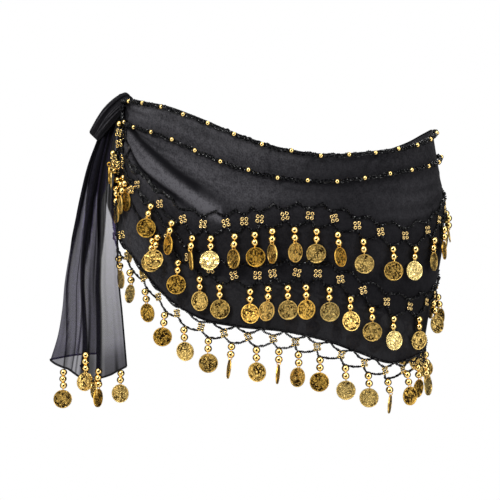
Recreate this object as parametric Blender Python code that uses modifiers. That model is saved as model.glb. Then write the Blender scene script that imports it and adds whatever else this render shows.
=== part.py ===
"""Belly dance hip scarf, worn: a chiffon hip wrap knotted at one side, with bead ropes and rows of coins.

The wearer stands upright along +Z. +X points to the hip away from the knot and -Y to the side that faces
the viewer. The origin is the middle of the hips, on the axis of the hollow that the scarf leaves open.
A turn is an angle round the hips, in degrees: 0 at the knot, 90 in the middle of the near side, 180 at the
hip away from the knot and 270 in the middle of the far side. Sizes are in millimetres until MM scales them.
"""
import bpy
import bmesh
from math import cos, exp, hypot, pi, radians, sin, sqrt

MM = 0.001

# Walls and clearances
CLOTH_WALL = 1.2
TAIL_WALL = 1.0
SEAM_GAP = 0.35
ROPE_CLEARANCE = 0.7
ROPE_DIAMETER = 4.6
COIN_ROW_WALL = 4.0
FRINGE_WALL = 3.0
COIN_DIAMETER = 19.8
COIN_THICKNESS = 1.2
DROP_BEAD = 8.0

# Resolution of the cloth
PANEL_COLUMNS = 84
PANEL_ROWS = 14
ROPE_POINTS = 76

# The hips, a plain oval tube: height, half width, half depth
HIP_FORM = (
    (80, 157, 111),
    (40, 161, 115),
    (0, 167, 120),
    (-30, 172, 123.5),
    (-60, 176, 126.5),
    (-100, 175.5, 127.5),
    (-140, 169, 125.5),
    (-180, 160, 121),
    (-220, 154, 118),
    (-290, 149, 115),
)

# Sections of the wrap round the hips: turn, height of the waist edge, of the second rope, of the upper and
# middle coin rows and of the hem, and how far the cloth stands off the hips
SECTIONS = (
    (5.85, 53, 46, 40, 34, 27, 6.0),
    (9, 53, 42, 31, 20, -6, 4.5),
    (12, 53, 34, 12, -4, -50, 3.0),
    (15, 52.5, 27, -14, -25, -86, 2.0),
    (22, 50, 23, -25, -38, -101, 1.2),
    (30, 46.5, 18.5, -36, -51, -117, 0.6),
    (45, 39, 8, -60, -84, -157, 0),
    (60, 25, -8.5, -82, -121, -180, 0),
    (75, 7.5, -26, -82, -136, -188, 0),
    (90, -7, -37.5, -76, -133, -192, 0),
    (105, -13, -41, -77, -135, -201, 0),
    (120, -10, -36, -89, -152, -215, 0),
    (135, -4, -29, -95, -167, -227, 0),
    (150, 4.5, -22, -87, -168, -225, 0),
    (165, 15, -15, -69, -160, -219, 0),
    (180, 22, -7, -56, -148, -208, 0),
    (195, 20, -8, -54, -138, -197, 0),
    (210, 12, -15, -58, -129, -188, 0),
    (225, 4, -23, -63, -121, -180, 0),
    (240, -2, -29, -66, -114, -171, 0),
    (255, -4, -31, -65, -108, -161, 0),
    (270, -1, -28, -61, -102, -151, 0),
    (285, 6, -21, -55, -96, -143, 0),
    (300, 17, -10, -47, -87, -134, 0),
    (315, 29, 2, -36, -71, -114, 0),
    (330, 40, 13, -21, -47, -84, 0.6),
    (338, 45, 20, -12, -33, -66, 1.2),
    (345, 49, 27, 0, -18, -47, 2.0),
    (348, 51, 33, 12, -2, -30, 3.0),
    (351, 52, 40, 28, 18, 0, 4.5),
    (354.15, 53, 46, 40, 34, 27, 6.0),
)
WAIST, ROPE, UPPER, MIDDLE, HEM, STAND_OFF = 1, 2, 3, 4, 5, 6

# Largest folds of the wrap, each a soft trough: turn and height where it starts, turn and height where it
# ends, depth, half width at its start and half width at its end
FOLDS = (
    (10, 44, 62, -84, 2.6, 8, 13),
    (9, 34, 40, -116, 2.4, 8, 13),
    (12, 50, 84, -62, 1.4, 7, 11),
    (76, -2, 86, -70, 1.0, 8, 12),
    (128, -6, 122, -74, 1.0, 8, 12),
    (150, 2, 118, -60, 1.2, 8, 12),
    (176, 8, 128, -84, 1.2, 8, 12),
    (350, 44, 300, -78, 2.4, 8, 13),
    (351, 34, 322, -86, 2.2, 8, 13),
    (348, 50, 276, -50, 1.4, 7, 11),
    (214, 6, 252, -56, 1.2, 8, 12),
    (186, 4, 232, -84, 1.2, 8, 12),
)

# The knot, a barrel of wound cloth whose axis lies along Y: position along the axis as a share of its
# half length, half width and half height
KNOT_CENTRE = (-171, 0, 45)
KNOT_HALF_LENGTH = 12.5
KNOT_RINGS = (
    (-1.0, 10.5, 14.0),
    (-0.8, 12.4, 16.4),
    (-0.3, 13.5, 17.8),
    (0.3, 13.5, 17.8),
    (0.8, 12.4, 16.4),
    (1.0, 10.5, 14.0),
)
KNOT_SIDES = 20
KNOT_CREASES = 5
KNOT_CREASE_DEPTH = 0.7

# The bow loop, a strip that leaves the knot, turns at its tip and comes back behind itself: X and height of
# its middle line, its Y, its width and half the space between its two layers
LOOP_STATIONS = (
    (-188.8, 45.0, -6.5, 7, 1.5),
    (-191.0, 38.5, -8.0, 14, 2.8),
    (-192.6, 31.0, -9.5, 18, 3.4),
    (-196.4, 24.6, -10.5, 18, 3.4),
    (-200.2, 19.0, -11.0, 16, 2.8),
    (-202.6, 15.8, -11.0, 13, 2.0),
)
LOOP_TIP_REACH = 2.0
LOOP_COLUMNS = 6
LOOP_STEPS = 9

# The hanging tail: height, left edge, right edge, Y of its right edge and share of the full fold depth
TAIL_SECTIONS = (
    (33, -192.0, -180.9, 0.5, 0.40),
    (22, -196.3, -180.7, -0.5, 0.50),
    (10, -199.8, -181.5, -8.0, 0.60),
    (-20, -208.0, -180.0, -29.0, 0.80),
    (-56, -215.5, -178.5, -39.0, 0.90),
    (-78, -219.5, -175.8, -41.5, 0.95),
    (-99, -223.7, -174.0, -42.0, 1.00),
    (-143, -231.3, -172.5, -41.5, 1.05),
    (-174, -234.5, -169.5, -40.0, 1.05),
    (-202, -239.5, -167.0, -38.5, 1.10),
    (-228, -247.7, -164.6, -37.0, 1.15),
)
# The tail's folds, from the free edge of the layer behind, round its left edge, to the right edge: share of
# the way from left to right, Y and the drop of the hem below its left corner
TAIL_FOLDS = (
    (0.46, 8.5, -5.0),
    (0.24, 8.0, -2.5),
    (0.06, 6.5, 0.0),
    (0.00, 3.0, 0.0),
    (0.07, 0.2, 4.0),
    (0.26, 0.5, 13.0),
    (0.42, -1.0, 21.0),
    (0.50, -5.0, 23.0),
    (0.57, -0.5, 23.0),
    (0.66, -4.5, 20.0),
    (0.74, -0.5, 17.0),
    (0.87, 0.5, 12.0),
    (1.00, 0.0, 7.0),
)
TAIL_ROWS = 18

# Drops on the tail's end: share of the way from its left to its right edge, top height (None hangs the drop
# from the hem, a height hangs it in front of the cloth), beads and the coin's turn about the drop in degrees
TAIL_DROPS = (
    ("tail_drop_left", 0.182, None, 3, 12),
    ("tail_drop_pleat", 0.481, -219.0, 3, 38),
    ("tail_drop_middle", 0.643, -236.5, 3, 68),
    ("tail_drop_right", 0.926, None, 2, -20),
)
DROP_SIDES = 12
HEM_SLANT_GAP = 0.75

# Reach of the trims: above and below the lines that they hang from
ROW_HEAD = 4
ROW_REACH = 50
ROW_GAP = 3
ROW_CLEARANCE = 0.8
FRINGE_GAP = 0.6
FRINGE_REACH = 50
ROW_FIRST_TURN = 17
ROW_LAST_TURN = 343
FRINGE_FIRST_TURN = 16
FRINGE_LAST_TURN = 344

BLACK_CHIFFON = ("black_chiffon", (0.035, 0.034, 0.042, 1), 0.7, 0.0)
DARK_CHIFFON = ("folded_chiffon", (0.02, 0.019, 0.024, 1), 0.7, 0.0)
BLACK_BEADS = ("black_seed_beads", (0.008, 0.008, 0.009, 1), 0.2, 0.0)
GOLD = ("gold_coins", (0.83, 0.58, 0.16, 1), 0.28, 1.0)


# ---------------------------------------------------------------- tables and the hip form

def read_table(table, key, column):
    """Value of one column at a key, on a smooth curve through the table's rows."""
    rows = table if table[0][0] < table[-1][0] else table[::-1]
    keys = [row[0] for row in rows]
    values = [row[column] for row in rows]
    key = min(max(key, keys[0]), keys[-1])
    place = max(i for i in range(len(keys) - 1) if keys[i] <= key)

    def slope(i):
        low, high = max(i - 1, 0), min(i + 1, len(keys) - 1)
        return (values[high] - values[low]) / (keys[high] - keys[low])

    span = keys[place + 1] - keys[place]
    t = (key - keys[place]) / span
    rise = values[place + 1] - values[place]
    start, end = slope(place) * span, slope(place + 1) * span
    return (values[place] + start * t + (3 * rise - 2 * start - end) * t ** 2
            + (start + end - 2 * rise) * t ** 3)


def hip_point(turn, height, lift):
    """A point on the hips, moved out square to the oval by a lift."""
    half_width = read_table(HIP_FORM, height, 1)
    half_depth = read_table(HIP_FORM, height, 2)
    x, y = -half_width * cos(radians(turn)), -half_depth * sin(radians(turn))
    out_x, out_y = x / half_width ** 2, y / half_depth ** 2
    size = hypot(out_x, out_y)
    return x + lift * out_x / size, y + lift * out_y / size, height


def fold_depth(turn, height):
    """How far the folds push the cloth in at a place on the wrap; an arc of one degree is about 2.6 mm."""
    arc = 2.6
    total = 0
    for turn_a, height_a, turn_b, height_b, depth, width_a, width_b in FOLDS:
        along_x, along_z = (turn_b - turn_a) * arc, height_b - height_a
        length = hypot(along_x, along_z)
        off_x, off_z = (turn - turn_a) * arc, height - height_a
        share = (off_x * along_x + off_z * along_z) / length ** 2
        if not -0.15 < share < 1.15:
            continue
        across = (off_x * along_z - off_z * along_x) / length
        width = width_a + (width_b - width_a) * min(max(share, 0), 1)
        fade = sin(pi * (share + 0.15) / 1.3)
        total += depth * fade * exp(-(across / width) ** 2)
    return total


def wrap_height(turn, share):
    """Height on the wrap: share 0 is the waist edge and share 1 is the hem."""
    waist, hem = read_table(SECTIONS, turn, WAIST), read_table(SECTIONS, turn, HEM)
    return waist + (hem - waist) * share


def wrap_point(turn, height, lift):
    """A point of the wrap's inner face, moved out by a lift, so that what lies on the cloth follows it."""
    stand_off = read_table(SECTIONS, turn, STAND_OFF)
    return hip_point(turn, height, stand_off + 4.0 - fold_depth(turn, height) + lift)


# ---------------------------------------------------------------- building blocks

def clear_scene():
    for item in list(bpy.data.objects):
        bpy.data.objects.remove(item, do_unlink=True)


def make_collection(name):
    collection = bpy.data.collections.new(name)
    bpy.context.scene.collection.children.link(collection)
    return collection


def material_for(look):
    name, colour, roughness, metallic = look
    found = bpy.data.materials.get(name)
    if found:
        return found
    material = bpy.data.materials.new(name)
    material.use_nodes = True
    shader = material.node_tree.nodes["Principled BSDF"]
    shader.inputs["Base Color"].default_value = colour
    shader.inputs["Roughness"].default_value = roughness
    shader.inputs["Metallic"].default_value = metallic
    return material


def finish_mesh(name, mesh, look, collection):
    for face in mesh.polygons:
        face.use_smooth = True
    item = bpy.data.objects.new(name, mesh)
    collection.objects.link(item)
    item.data.materials.append(material_for(look))
    return item


def grid_mesh(name, rows):
    """A mesh of quads over rows of points in millimetres."""
    shape = bmesh.new()
    lines = [[shape.verts.new([c * MM for c in point]) for point in row] for row in rows]
    for upper, lower in zip(lines, lines[1:]):
        for i in range(len(upper) - 1):
            shape.faces.new((upper[i], lower[i], lower[i + 1], upper[i + 1]))
    mesh = bpy.data.meshes.new(name)
    shape.to_mesh(mesh)
    shape.free()
    return mesh


def cloth_sheet(name, rows, wall, look, collection, side=1):
    """An open surface with a wall added on one side of it."""
    item = finish_mesh(name, grid_mesh(name, rows), look, collection)
    solidify = item.modifiers.new("wall", "SOLIDIFY")
    solidify.thickness = wall * MM
    solidify.offset = side
    return item


def ring_loft(name, rings, look, collection):
    """A closed solid through rings of equal count, with flat ends."""
    shape = bmesh.new()
    loops = [[shape.verts.new([c * MM for c in point]) for point in ring] for ring in rings]
    count = len(loops[0])
    for first, second in zip(loops, loops[1:]):
        for i in range(count):
            shape.faces.new((first[i], first[(i + 1) % count], second[(i + 1) % count], second[i]))
    shape.faces.new(loops[0][::-1])
    shape.faces.new(loops[-1])
    bmesh.ops.recalc_face_normals(shape, faces=shape.faces)
    mesh = bpy.data.meshes.new(name)
    shape.to_mesh(mesh)
    shape.free()
    return finish_mesh(name, mesh, look, collection)


def tube(name, points, diameter, look, collection):
    """A round cord along points in millimetres."""
    curve = bpy.data.curves.new(name, "CURVE")
    curve.dimensions = "3D"
    curve.bevel_depth = diameter / 2 * MM
    curve.bevel_resolution = 2
    curve.use_fill_caps = True
    spline = curve.splines.new("POLY")
    spline.points.add(len(points) - 1)
    for target, point in zip(spline.points, points):
        target.co = (*[c * MM for c in point], 1)
    item = bpy.data.objects.new(name, curve)
    collection.objects.link(item)
    item.data.materials.append(material_for(look))
    return item


def spread(first, last, steps):
    return [first + (last - first) * i / steps for i in range(steps + 1)]


# ---------------------------------------------------------------- the pieces

def wrap_turns(first, last):
    """The wrap's own columns between two turns, so that a trim has the same facets as the cloth under it."""
    return [t for t in spread(SECTIONS[0][0], SECTIONS[-1][0], PANEL_COLUMNS) if first <= t <= last]


def make_hip_wrap(collection):
    """The long panel of chiffon round the hips, from one side of the knot to the other."""
    turns = spread(SECTIONS[0][0], SECTIONS[-1][0], PANEL_COLUMNS)
    shares = spread(0, 1, PANEL_ROWS)
    rows = [[wrap_point(turn, wrap_height(turn, share), 0) for turn in turns] for share in shares]
    return cloth_sheet("hip_wrap", rows, CLOTH_WALL, BLACK_CHIFFON, collection)


def make_rope(name, column, drop, lift, collection):
    """A rope of black seed beads sewn along a line of the wrap."""
    turns = spread(SECTIONS[0][0] + 3.4, SECTIONS[-1][0] - 3.4, ROPE_POINTS)
    points = [wrap_point(turn, read_table(SECTIONS, turn, column) - drop, lift) for turn in turns]
    return tube(name, points, ROPE_DIAMETER, BLACK_BEADS, collection)


def make_coin_row(name, column, next_column, collection):
    """The reach of one row of coin drops: a band on the wrap, ending above the next row or the hem."""
    turns = wrap_turns(ROW_FIRST_TURN, ROW_LAST_TURN)
    lift = CLOTH_WALL + ROW_CLEARANCE
    rows = []
    for share in spread(0, 1, 4):
        rows.append([])
        for turn in turns:
            top = read_table(SECTIONS, turn, column) + ROW_HEAD
            below = read_table(SECTIONS, turn, next_column) + (0 if next_column == HEM else ROW_HEAD) + ROW_GAP
            bottom = max(top - ROW_REACH, below)
            rows[-1].append(wrap_point(turn, top + (bottom - top) * share, lift))
    return cloth_sheet(name, rows, COIN_ROW_WALL, GOLD, collection)


def make_hem_fringe(collection):
    """The reach of the beaded net and its coins below the hem."""
    turns = wrap_turns(FRINGE_FIRST_TURN, FRINGE_LAST_TURN)
    rows = []
    for share in spread(0, 1, 3):
        rows.append([])
        for turn in turns:
            top = read_table(SECTIONS, turn, HEM) - FRINGE_GAP
            rows[-1].append(wrap_point(turn, top - FRINGE_REACH * share, -0.9))
    return cloth_sheet("hem_fringe", rows, FRINGE_WALL, GOLD, collection)


def make_knot(collection):
    """The knot: cloth wound tight, with shallow creases round the barrel."""
    x, y, z = KNOT_CENTRE
    rings = []
    for share, half_width, half_height in KNOT_RINGS:
        ring = []
        for i in range(KNOT_SIDES):
            angle = 2 * pi * i / KNOT_SIDES
            crease = KNOT_CREASE_DEPTH * (1 - abs(share)) * sin(KNOT_CREASES * angle)
            ring.append((x + (half_width - crease) * cos(angle), y + share * KNOT_HALF_LENGTH,
                         z + (half_height - crease) * sin(angle)))
        rings.append(ring)
    return ring_loft("tie_knot", rings, DARK_CHIFFON, collection)


def loop_station(share):
    """Middle point, side direction, Y, width and half gap of the bow loop."""
    table = [(i / (len(LOOP_STATIONS) - 1), *row) for i, row in enumerate(LOOP_STATIONS)]
    x, z, y, width, half_gap = [read_table(table, share, column) for column in range(1, 6)]
    step = 0.02
    dx = read_table(table, min(share + step, 1), 1) - read_table(table, max(share - step, 0), 1)
    dz = read_table(table, min(share + step, 1), 2) - read_table(table, max(share - step, 0), 2)
    size = hypot(dx, dz)
    return x, y, z, dx / size, dz / size, width, half_gap


def make_loop(collection):
    """The bow loop: out from the knot, round its tip and back behind itself."""
    out = [(share, -1) for share in spread(0, 1, LOOP_STEPS)]
    back = [(share, 1) for share in spread(1, 0, LOOP_STEPS)]
    rows = []
    for place, (share, side) in enumerate(out + [(1, 0)] + back):
        x, y, z, dx, dz, width, half_gap = loop_station(share)
        reach = LOOP_TIP_REACH if side == 0 else 0
        row = []
        for across in spread(-0.5, 0.5, LOOP_COLUMNS):
            row.append((x + dx * reach - dz * width * across, y + side * half_gap,
                        z + dz * reach + dx * width * across))
        rows.append(row)
    return cloth_sheet("tie_loop", rows, TAIL_WALL, DARK_CHIFFON, collection)


def tail_point(height_share, fold_row):
    """A point of the tail, on one fold line at a share of the way down."""
    across, fold_y, hem_drop = fold_row
    top, bottom = TAIL_SECTIONS[0][0], TAIL_SECTIONS[-1][0]
    height = top + (bottom - top) * height_share
    left, right, y, depth = [read_table(TAIL_SECTIONS, height, column) for column in range(1, 5)]
    return (left + (right - left) * across, y + fold_y * depth,
            height - hem_drop * height_share ** 6)


def make_tail(collection):
    """The hanging end: a front layer with two pleats, folded at its left edge over a layer behind."""
    rows = []
    for share in spread(0, 1, TAIL_ROWS):
        rows.append([tail_point(share, fold_row) for fold_row in TAIL_FOLDS])
    return cloth_sheet("tail", rows, TAIL_WALL, BLACK_CHIFFON, collection, side=0)


def tail_front(across, height_share):
    """A point of the tail's front layer at a share of the way from its left to its right edge."""
    front = TAIL_FOLDS[3:]
    for first, second in zip(front, front[1:]):
        if first[0] <= across <= second[0]:
            t = (across - first[0]) / (second[0] - first[0])
            row = [a + (b - a) * t for a, b in zip(first, second)]
            return tail_point(height_share, row)


def make_tail_drop(name, across, top, beads, turn, collection):
    """A string of beads with a coin under it, as one solid of flat oval rings."""
    radius, coin = DROP_BEAD / 2, COIN_DIAMETER / 2
    if top is None:
        x, y, hem = tail_front(across, 1)
        top = hem - HEM_SLANT_GAP
    else:
        height_share = (TAIL_SECTIONS[0][0] - top) / (TAIL_SECTIONS[0][0] - TAIL_SECTIONS[-1][0])
        x, y, _ = tail_front(across, height_share)
        y -= TAIL_WALL / 2 + SEAM_GAP + radius + 0.6
    profile = []
    for bead in range(beads):
        for share in (0.12, 0.5, 0.88):
            size = radius * sqrt(1 - (2 * share - 1) ** 2)
            profile.append((top - (bead + share) * DROP_BEAD * 0.9, size, size))
    coin_top = top - beads * DROP_BEAD * 0.9
    for share in (0.06, 0.18, 0.34, 0.5, 0.66, 0.82, 0.94, 0.99):
        half = coin * sqrt(1 - (2 * share - 1) ** 2)
        profile.append((coin_top - share * COIN_DIAMETER, half, COIN_THICKNESS / 2))
    rings = []
    for height, half_width, half_depth in profile:
        ring = []
        for i in range(DROP_SIDES):
            angle = 2 * pi * i / DROP_SIDES
            side, front = half_width * cos(angle), half_depth * sin(angle)
            ring.append((x + side * cos(radians(turn)) - front * sin(radians(turn)),
                         y + side * sin(radians(turn)) + front * cos(radians(turn)), height))
        rings.append(ring)
    return ring_loft(name, rings, GOLD, collection)


def build():
    clear_scene()
    scarf = make_collection("belly_dance_hip_scarf")
    rope_lift = CLOTH_WALL + ROPE_CLEARANCE + ROPE_DIAMETER / 2
    make_hip_wrap(scarf)
    make_rope("waist_rope", WAIST, 1.5, rope_lift, scarf)
    make_rope("second_rope", ROPE, 0, rope_lift, scarf)
    make_coin_row("coin_row_upper", UPPER, MIDDLE, scarf)
    make_coin_row("coin_row_middle", MIDDLE, HEM, scarf)
    make_hem_fringe(scarf)
    make_knot(scarf)
    make_loop(scarf)
    make_tail(scarf)
    for drop in TAIL_DROPS:
        make_tail_drop(*drop, scarf)


build()
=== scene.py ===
# %% [markdown]
# # A belly dance hip scarf
# The scarf is one long cloth of sheer black chiffon, tied round the hips at one side with a half bow. Two ropes
# of black seed beads edge its waist, and three rows of gold coins hang from scallops of beads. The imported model
# is loaded first, so every piece below is made in its frame: metres, +Z up, the near side at -Y.

# %% Load the frame
import bpy
import math
import random
import numpy as np
from mathutils import Matrix, Vector


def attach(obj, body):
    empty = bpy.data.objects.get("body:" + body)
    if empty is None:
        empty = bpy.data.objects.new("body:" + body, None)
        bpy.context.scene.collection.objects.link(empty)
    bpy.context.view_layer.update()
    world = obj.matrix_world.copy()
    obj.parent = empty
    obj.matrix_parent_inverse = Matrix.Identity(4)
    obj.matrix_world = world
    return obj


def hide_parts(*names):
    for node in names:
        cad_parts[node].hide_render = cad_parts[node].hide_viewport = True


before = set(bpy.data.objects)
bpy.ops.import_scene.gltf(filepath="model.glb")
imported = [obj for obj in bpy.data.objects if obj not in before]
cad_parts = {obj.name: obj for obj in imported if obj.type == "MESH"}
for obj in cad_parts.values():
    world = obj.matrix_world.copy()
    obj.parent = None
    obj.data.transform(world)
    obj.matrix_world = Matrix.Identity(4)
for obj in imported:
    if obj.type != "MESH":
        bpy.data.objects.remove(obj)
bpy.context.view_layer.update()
MM = 0.001
random.seed(11)
print("nodes:", sorted(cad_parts))

# %% [markdown]
# ## The form under the cloth
# The wearer isn't modelled, so the cloth needs a form of its own: an oval that changes with height, and a table
# of sections round it. A turn is an angle in degrees: 0 at the knot, 90 in the middle of the near side, 180 at
# the far hip. A smooth curve through each column gives the lines that the trims are sewn on.

# %% Tables of the form, in millimetres and degrees
HIP_FORM = np.array([  # height, half width, half depth
    (-290, 149, 115), (-220, 154, 118), (-180, 160, 121), (-140, 169, 125.5), (-100, 175.5, 127.5),
    (-60, 176, 126.5), (-30, 172, 123.5), (0, 167, 120), (40, 161, 115), (80, 157, 111),
])
SECTIONS = np.array([  # turn, waist edge, second rope, upper row, middle row, hem, stand-off
    (5.85, 53, 46, 40, 34, 27, 6.0), (9, 53, 42, 31, 20, -6, 4.5), (12, 53, 34, 12, -4, -50, 3.0),
    (15, 52.5, 27, -14, -25, -86, 2.0), (22, 50, 23, -25, -38, -101, 1.2), (30, 46.5, 18.5, -36, -51, -117, 0.6),
    (45, 39, 8, -60, -84, -157, 0), (60, 25, -8.5, -82, -121, -180, 0), (75, 7.5, -26, -82, -136, -188, 0),
    (90, -7, -37.5, -76, -133, -192, 0), (105, -13, -41, -77, -135, -201, 0), (120, -10, -36, -89, -152, -215, 0),
    (135, -4, -29, -95, -167, -227, 0), (150, 4.5, -22, -87, -168, -225, 0), (165, 15, -15, -69, -160, -219, 0),
    (180, 22, -7, -56, -148, -208, 0), (195, 20, -8, -54, -138, -197, 0), (210, 12, -15, -58, -129, -188, 0),
    (225, 4, -23, -63, -121, -180, 0), (240, -2, -29, -66, -114, -171, 0), (255, -4, -31, -65, -108, -161, 0),
    (270, -1, -28, -61, -102, -151, 0), (285, 6, -21, -55, -96, -143, 0), (300, 17, -10, -47, -87, -134, 0),
    (315, 29, 2, -36, -71, -114, 0), (330, 40, 13, -21, -47, -84, 0.6), (338, 45, 20, -12, -33, -66, 1.2),
    (345, 49, 27, 0, -18, -47, 2.0), (348, 51, 33, 12, -2, -30, 3.0), (351, 52, 40, 28, 18, 0, 4.5),
    (354.15, 53, 46, 40, 34, 27, 6.0),
])
WAIST, ROPE, UPPER, MIDDLE, HEM, STAND_OFF = range(1, 7)
FIRST_TURN, LAST_TURN = SECTIONS[0, 0], SECTIONS[-1, 0]
CLOTH_LIFT = 4.6        # from the form to the middle of the cloth's wall


def read(table, key, column):
    """One column of a table at a key or an array of keys, on a smooth curve through its rows."""
    keys, values = table[:, 0], table[:, column]
    key = np.clip(np.asarray(key, dtype=float), keys[0], keys[-1])
    place = np.clip(np.searchsorted(keys, key, side="right") - 1, 0, len(keys) - 2)
    low, high = np.maximum(np.arange(len(keys)) - 1, 0), np.minimum(np.arange(len(keys)) + 1, len(keys) - 1)
    slopes = (values[high] - values[low]) / (keys[high] - keys[low])
    span = keys[place + 1] - keys[place]
    t = (key - keys[place]) / span
    rise = values[place + 1] - values[place]
    start, end = slopes[place] * span, slopes[place + 1] * span
    return values[place] + start * t + (3 * rise - 2 * start - end) * t ** 2 + (start + end - 2 * rise) * t ** 3


def hip_point(turn, height, lift):
    """Points on the form, moved out square to the oval by a lift, in millimetres."""
    wide, deep = read(HIP_FORM, height, 1), read(HIP_FORM, height, 2)
    angle = np.radians(turn)
    x, y = -wide * np.cos(angle), -deep * np.sin(angle)
    out_x, out_y = x / wide ** 2, y / deep ** 2
    size = np.hypot(out_x, out_y)
    return np.stack([x + lift * out_x / size, y + lift * out_y / size, height + 0 * x], axis=-1)


print("form: %d heights, %d sections" % (len(HIP_FORM), len(SECTIONS)))

# %% [markdown]
# ## Folds
# Chiffon pulled into a knot makes creases that leave the knot like rays, open out and die away. Each is one row
# of a table: where it starts and ends, how deep it is, how wide at either end, and how dark. The darkness is
# partly real, a deep crease being cloth lying double, and partly painted shade, as the crease's cover takes the
# painted light out of the cloth's colour. A simulation would put them anywhere, so they are set one by one and
# uneven.

# %% The creases of the hip wrap
CREASES = (  # depth, half widths at the start and the end, extra cover and painted shade, then turns and heights along it
    (3.2, 1.8, 4.2, 1.00, (6, 27), (12, 14), (20, 0.4), (32, -24), (43, -41), (52, -55), (60, -70), (67, -84)),
    (3.0, 2.8, 7.2, 1.00, (6, 31), (13, 26), (24, 13), (41, -12), (52, -31), (62, -48), (70, -63), (77, -76)),
    (1.2, 1.2, 1.8, 0.60, (10, 30), (21, 18.6), (35, 5.8), (42, -2.5), (52, -13)),
    (1.0, 0.9, 1.6, 0.50, (36, 4), (44, -8), (56, -29), (66, -46), (76, -64)),
    (0.9, 0.9, 1.4, 0.40, (14, 19), (28, -2), (40, -22), (52, -43)),
    (1.3, 2.6, 5.5, 0.32, (36, 33), (48, 25), (58, 12), (66, 4), (76, -10)),
    (1.0, 1.4, 2.2, 0.45, (9, 45), (16, 41), (26, 35), (38, 28)),
    (1.6, 1.4, 3.0, 0.60, (6, 24), (10, 0), (14, -26), (18, -52), (24, -92)),
    (1.0, 1.2, 2.4, 0.40, (12, -8), (22, -36), (30, -62), (38, -104)),
    (1.2, 1.8, 2.4, 0.38, (86, -8), (85.5, -20), (86.5, -36)),
    (1.3, 1.8, 2.6, 0.36, (102, -13), (99, -24), (98, -38)),
    (1.0, 1.6, 1.8, 0.26, (106, -12), (102, -22), (98.6, -31)),
    (1.5, 2.6, 3.4, 0.34, (125, -8), (121, -22), (119, -38)),
    (1.0, 2.0, 2.6, 0.24, (128, -6), (127, -18), (126, -30)),
    (1.0, 1.6, 2.0, 0.20, (139, 0), (137, -12), (137, -26)),
    (0.8, 2.0, 3.0, 0.22, (88, -46), (100, -50), (112, -49)),
    (1.2, 3.0, 4.5, 0.26, (176, -30), (154, -44), (138, -50), (119, -50)),
    (1.4, 3.0, 5.0, 0.28, (176, -44), (152, -62), (134, -70), (115, -65)),
    (1.0, 2.5, 4.0, 0.20, (172, -52), (150, -76), (136, -82), (122, -78)),
    (1.0, 3.0, 4.0, 0.20, (168, -96), (148, -112), (132, -116)),
    (0.9, 3.0, 5.0, 0.18, (66, -92), (62, -124), (57, -160)),
    (0.9, 4.0, 6.0, 0.16, (99, -92), (102, -112), (106, -128)),
    (0.9, 4.0, 6.0, 0.16, (94, -146), (98, -166), (105, -190)),
    (1.0, 4.0, 6.0, 0.18, (122, -162), (128, -184), (131, -206)),
    (0.9, 3.0, 5.0, 0.16, (152, -176), (155, -192), (158, -206)),
    (3.0, 1.6, 4.4, 0.95, (354, 29), (348, 22), (338, 8), (322, -20), (310, -46), (298, -72)),
    (2.6, 1.5, 3.8, 0.90, (354, 26), (349, 10), (342, -10), (332, -34), (320, -62), (312, -86)),
    (1.2, 1.2, 1.8, 0.55, (350, 31), (338, 22), (322, 6), (308, -14), (296, -36)),
    (1.0, 0.9, 1.5, 0.42, (350, 24), (336, -4), (326, -26), (316, -50)),
    (1.3, 2.6, 5.0, 0.30, (324, 36), (306, 20), (292, 2), (278, -10)),
    (1.0, 1.4, 2.2, 0.40, (351, 46), (342, 40), (330, 32), (320, 25)),
    (1.2, 1.8, 2.6, 0.34, (262, -4), (264, -14), (261, -27)),
    (1.3, 1.8, 2.8, 0.32, (243, -4), (240, -16), (241, -29)),
    (1.0, 2.0, 2.6, 0.24, (228, 2), (230, -10), (226, -22)),
    (1.2, 3.0, 4.5, 0.24, (184, -28), (206, -36), (226, -44), (246, -42)),
    (1.2, 3.0, 4.5, 0.22, (188, -44), (208, -52), (222, -56)),
    (0.9, 3.0, 5.0, 0.18, (222, -84), (218, -110), (214, -150)),
    (0.9, 3.0, 5.0, 0.16, (256, -80), (260, -104), (266, -134)),
    (1.0, 3.0, 5.0, 0.18, (194, -82), (200, -108), (204, -130)),
)
ARC = 2.6               # millimetres round the hips for one degree of turn
SHARP = 0.5             # creases with more cover than this are folds with a clean edge


def crease(turn, height):
    """How far the creases push the cloth in, and how much extra cover they give, which also paints shade into the
    colour, at points on the wrap.
    """
    push, cover = np.zeros(np.shape(turn)), np.zeros(np.shape(turn))
    for depth, width_a, width_b, dark, *line in CREASES:
        line = np.array(line, dtype=float)
        level = np.ptp(line[:, 0]) * ARC > np.ptp(line[:, 1])       # it runs round the hips more than down them
        key, other = (0, 1) if level else (1, 0)
        start, end = line[0, key], line[-1, key]
        table = line[np.argsort(line[:, key])][:, [key, other]]
        at = turn if level else height
        where = read(table, at, 1)
        slope = (read(table, at + 0.5, 1) - read(table, at - 0.5, 1)) / ARC if level else 0.0
        across = (height - where) / np.sqrt(1 + slope ** 2) if level else (turn - where) * ARC
        share = (at - start) / (end - start)
        width = width_a + (width_b - width_a) * np.clip(share, 0, 1)
        fade = np.where((share > 0) & (share < 1), np.sin(np.pi * np.clip(share * 0.9 + 0.1, 0, 1)), 0)
        fade = np.clip(fade * 1.6, 0, 1) * np.clip((share + 0.02) * 12, 0, 1)
        near = np.abs(across / width)
        push += depth * fade * (np.exp(-near ** 2) - 0.4 * np.exp(-(near - 1.9) ** 2 * 1.5))
        cover = np.maximum(cover, dark * fade * np.exp(-near ** (4 if dark > SHARP else 2)))
    return push, cover


def wrap_point(turn, height, lift=0.0):
    """Points on the hip wrap's cloth, moved out by a lift."""
    push, _ = crease(turn, height)
    return hip_point(turn, height, read(SECTIONS, turn, STAND_OFF) + CLOTH_LIFT - push + lift)


print("creases:", len(CREASES))

# %% [markdown]
# ## Formulas for the finishes
# A finish is a formula on its node sockets. The small class below wraps one socket, so that adding, multiplying
# and mixing are written as arithmetic, and each operator builds the Math, Vector Math or Mix node it needs.

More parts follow.
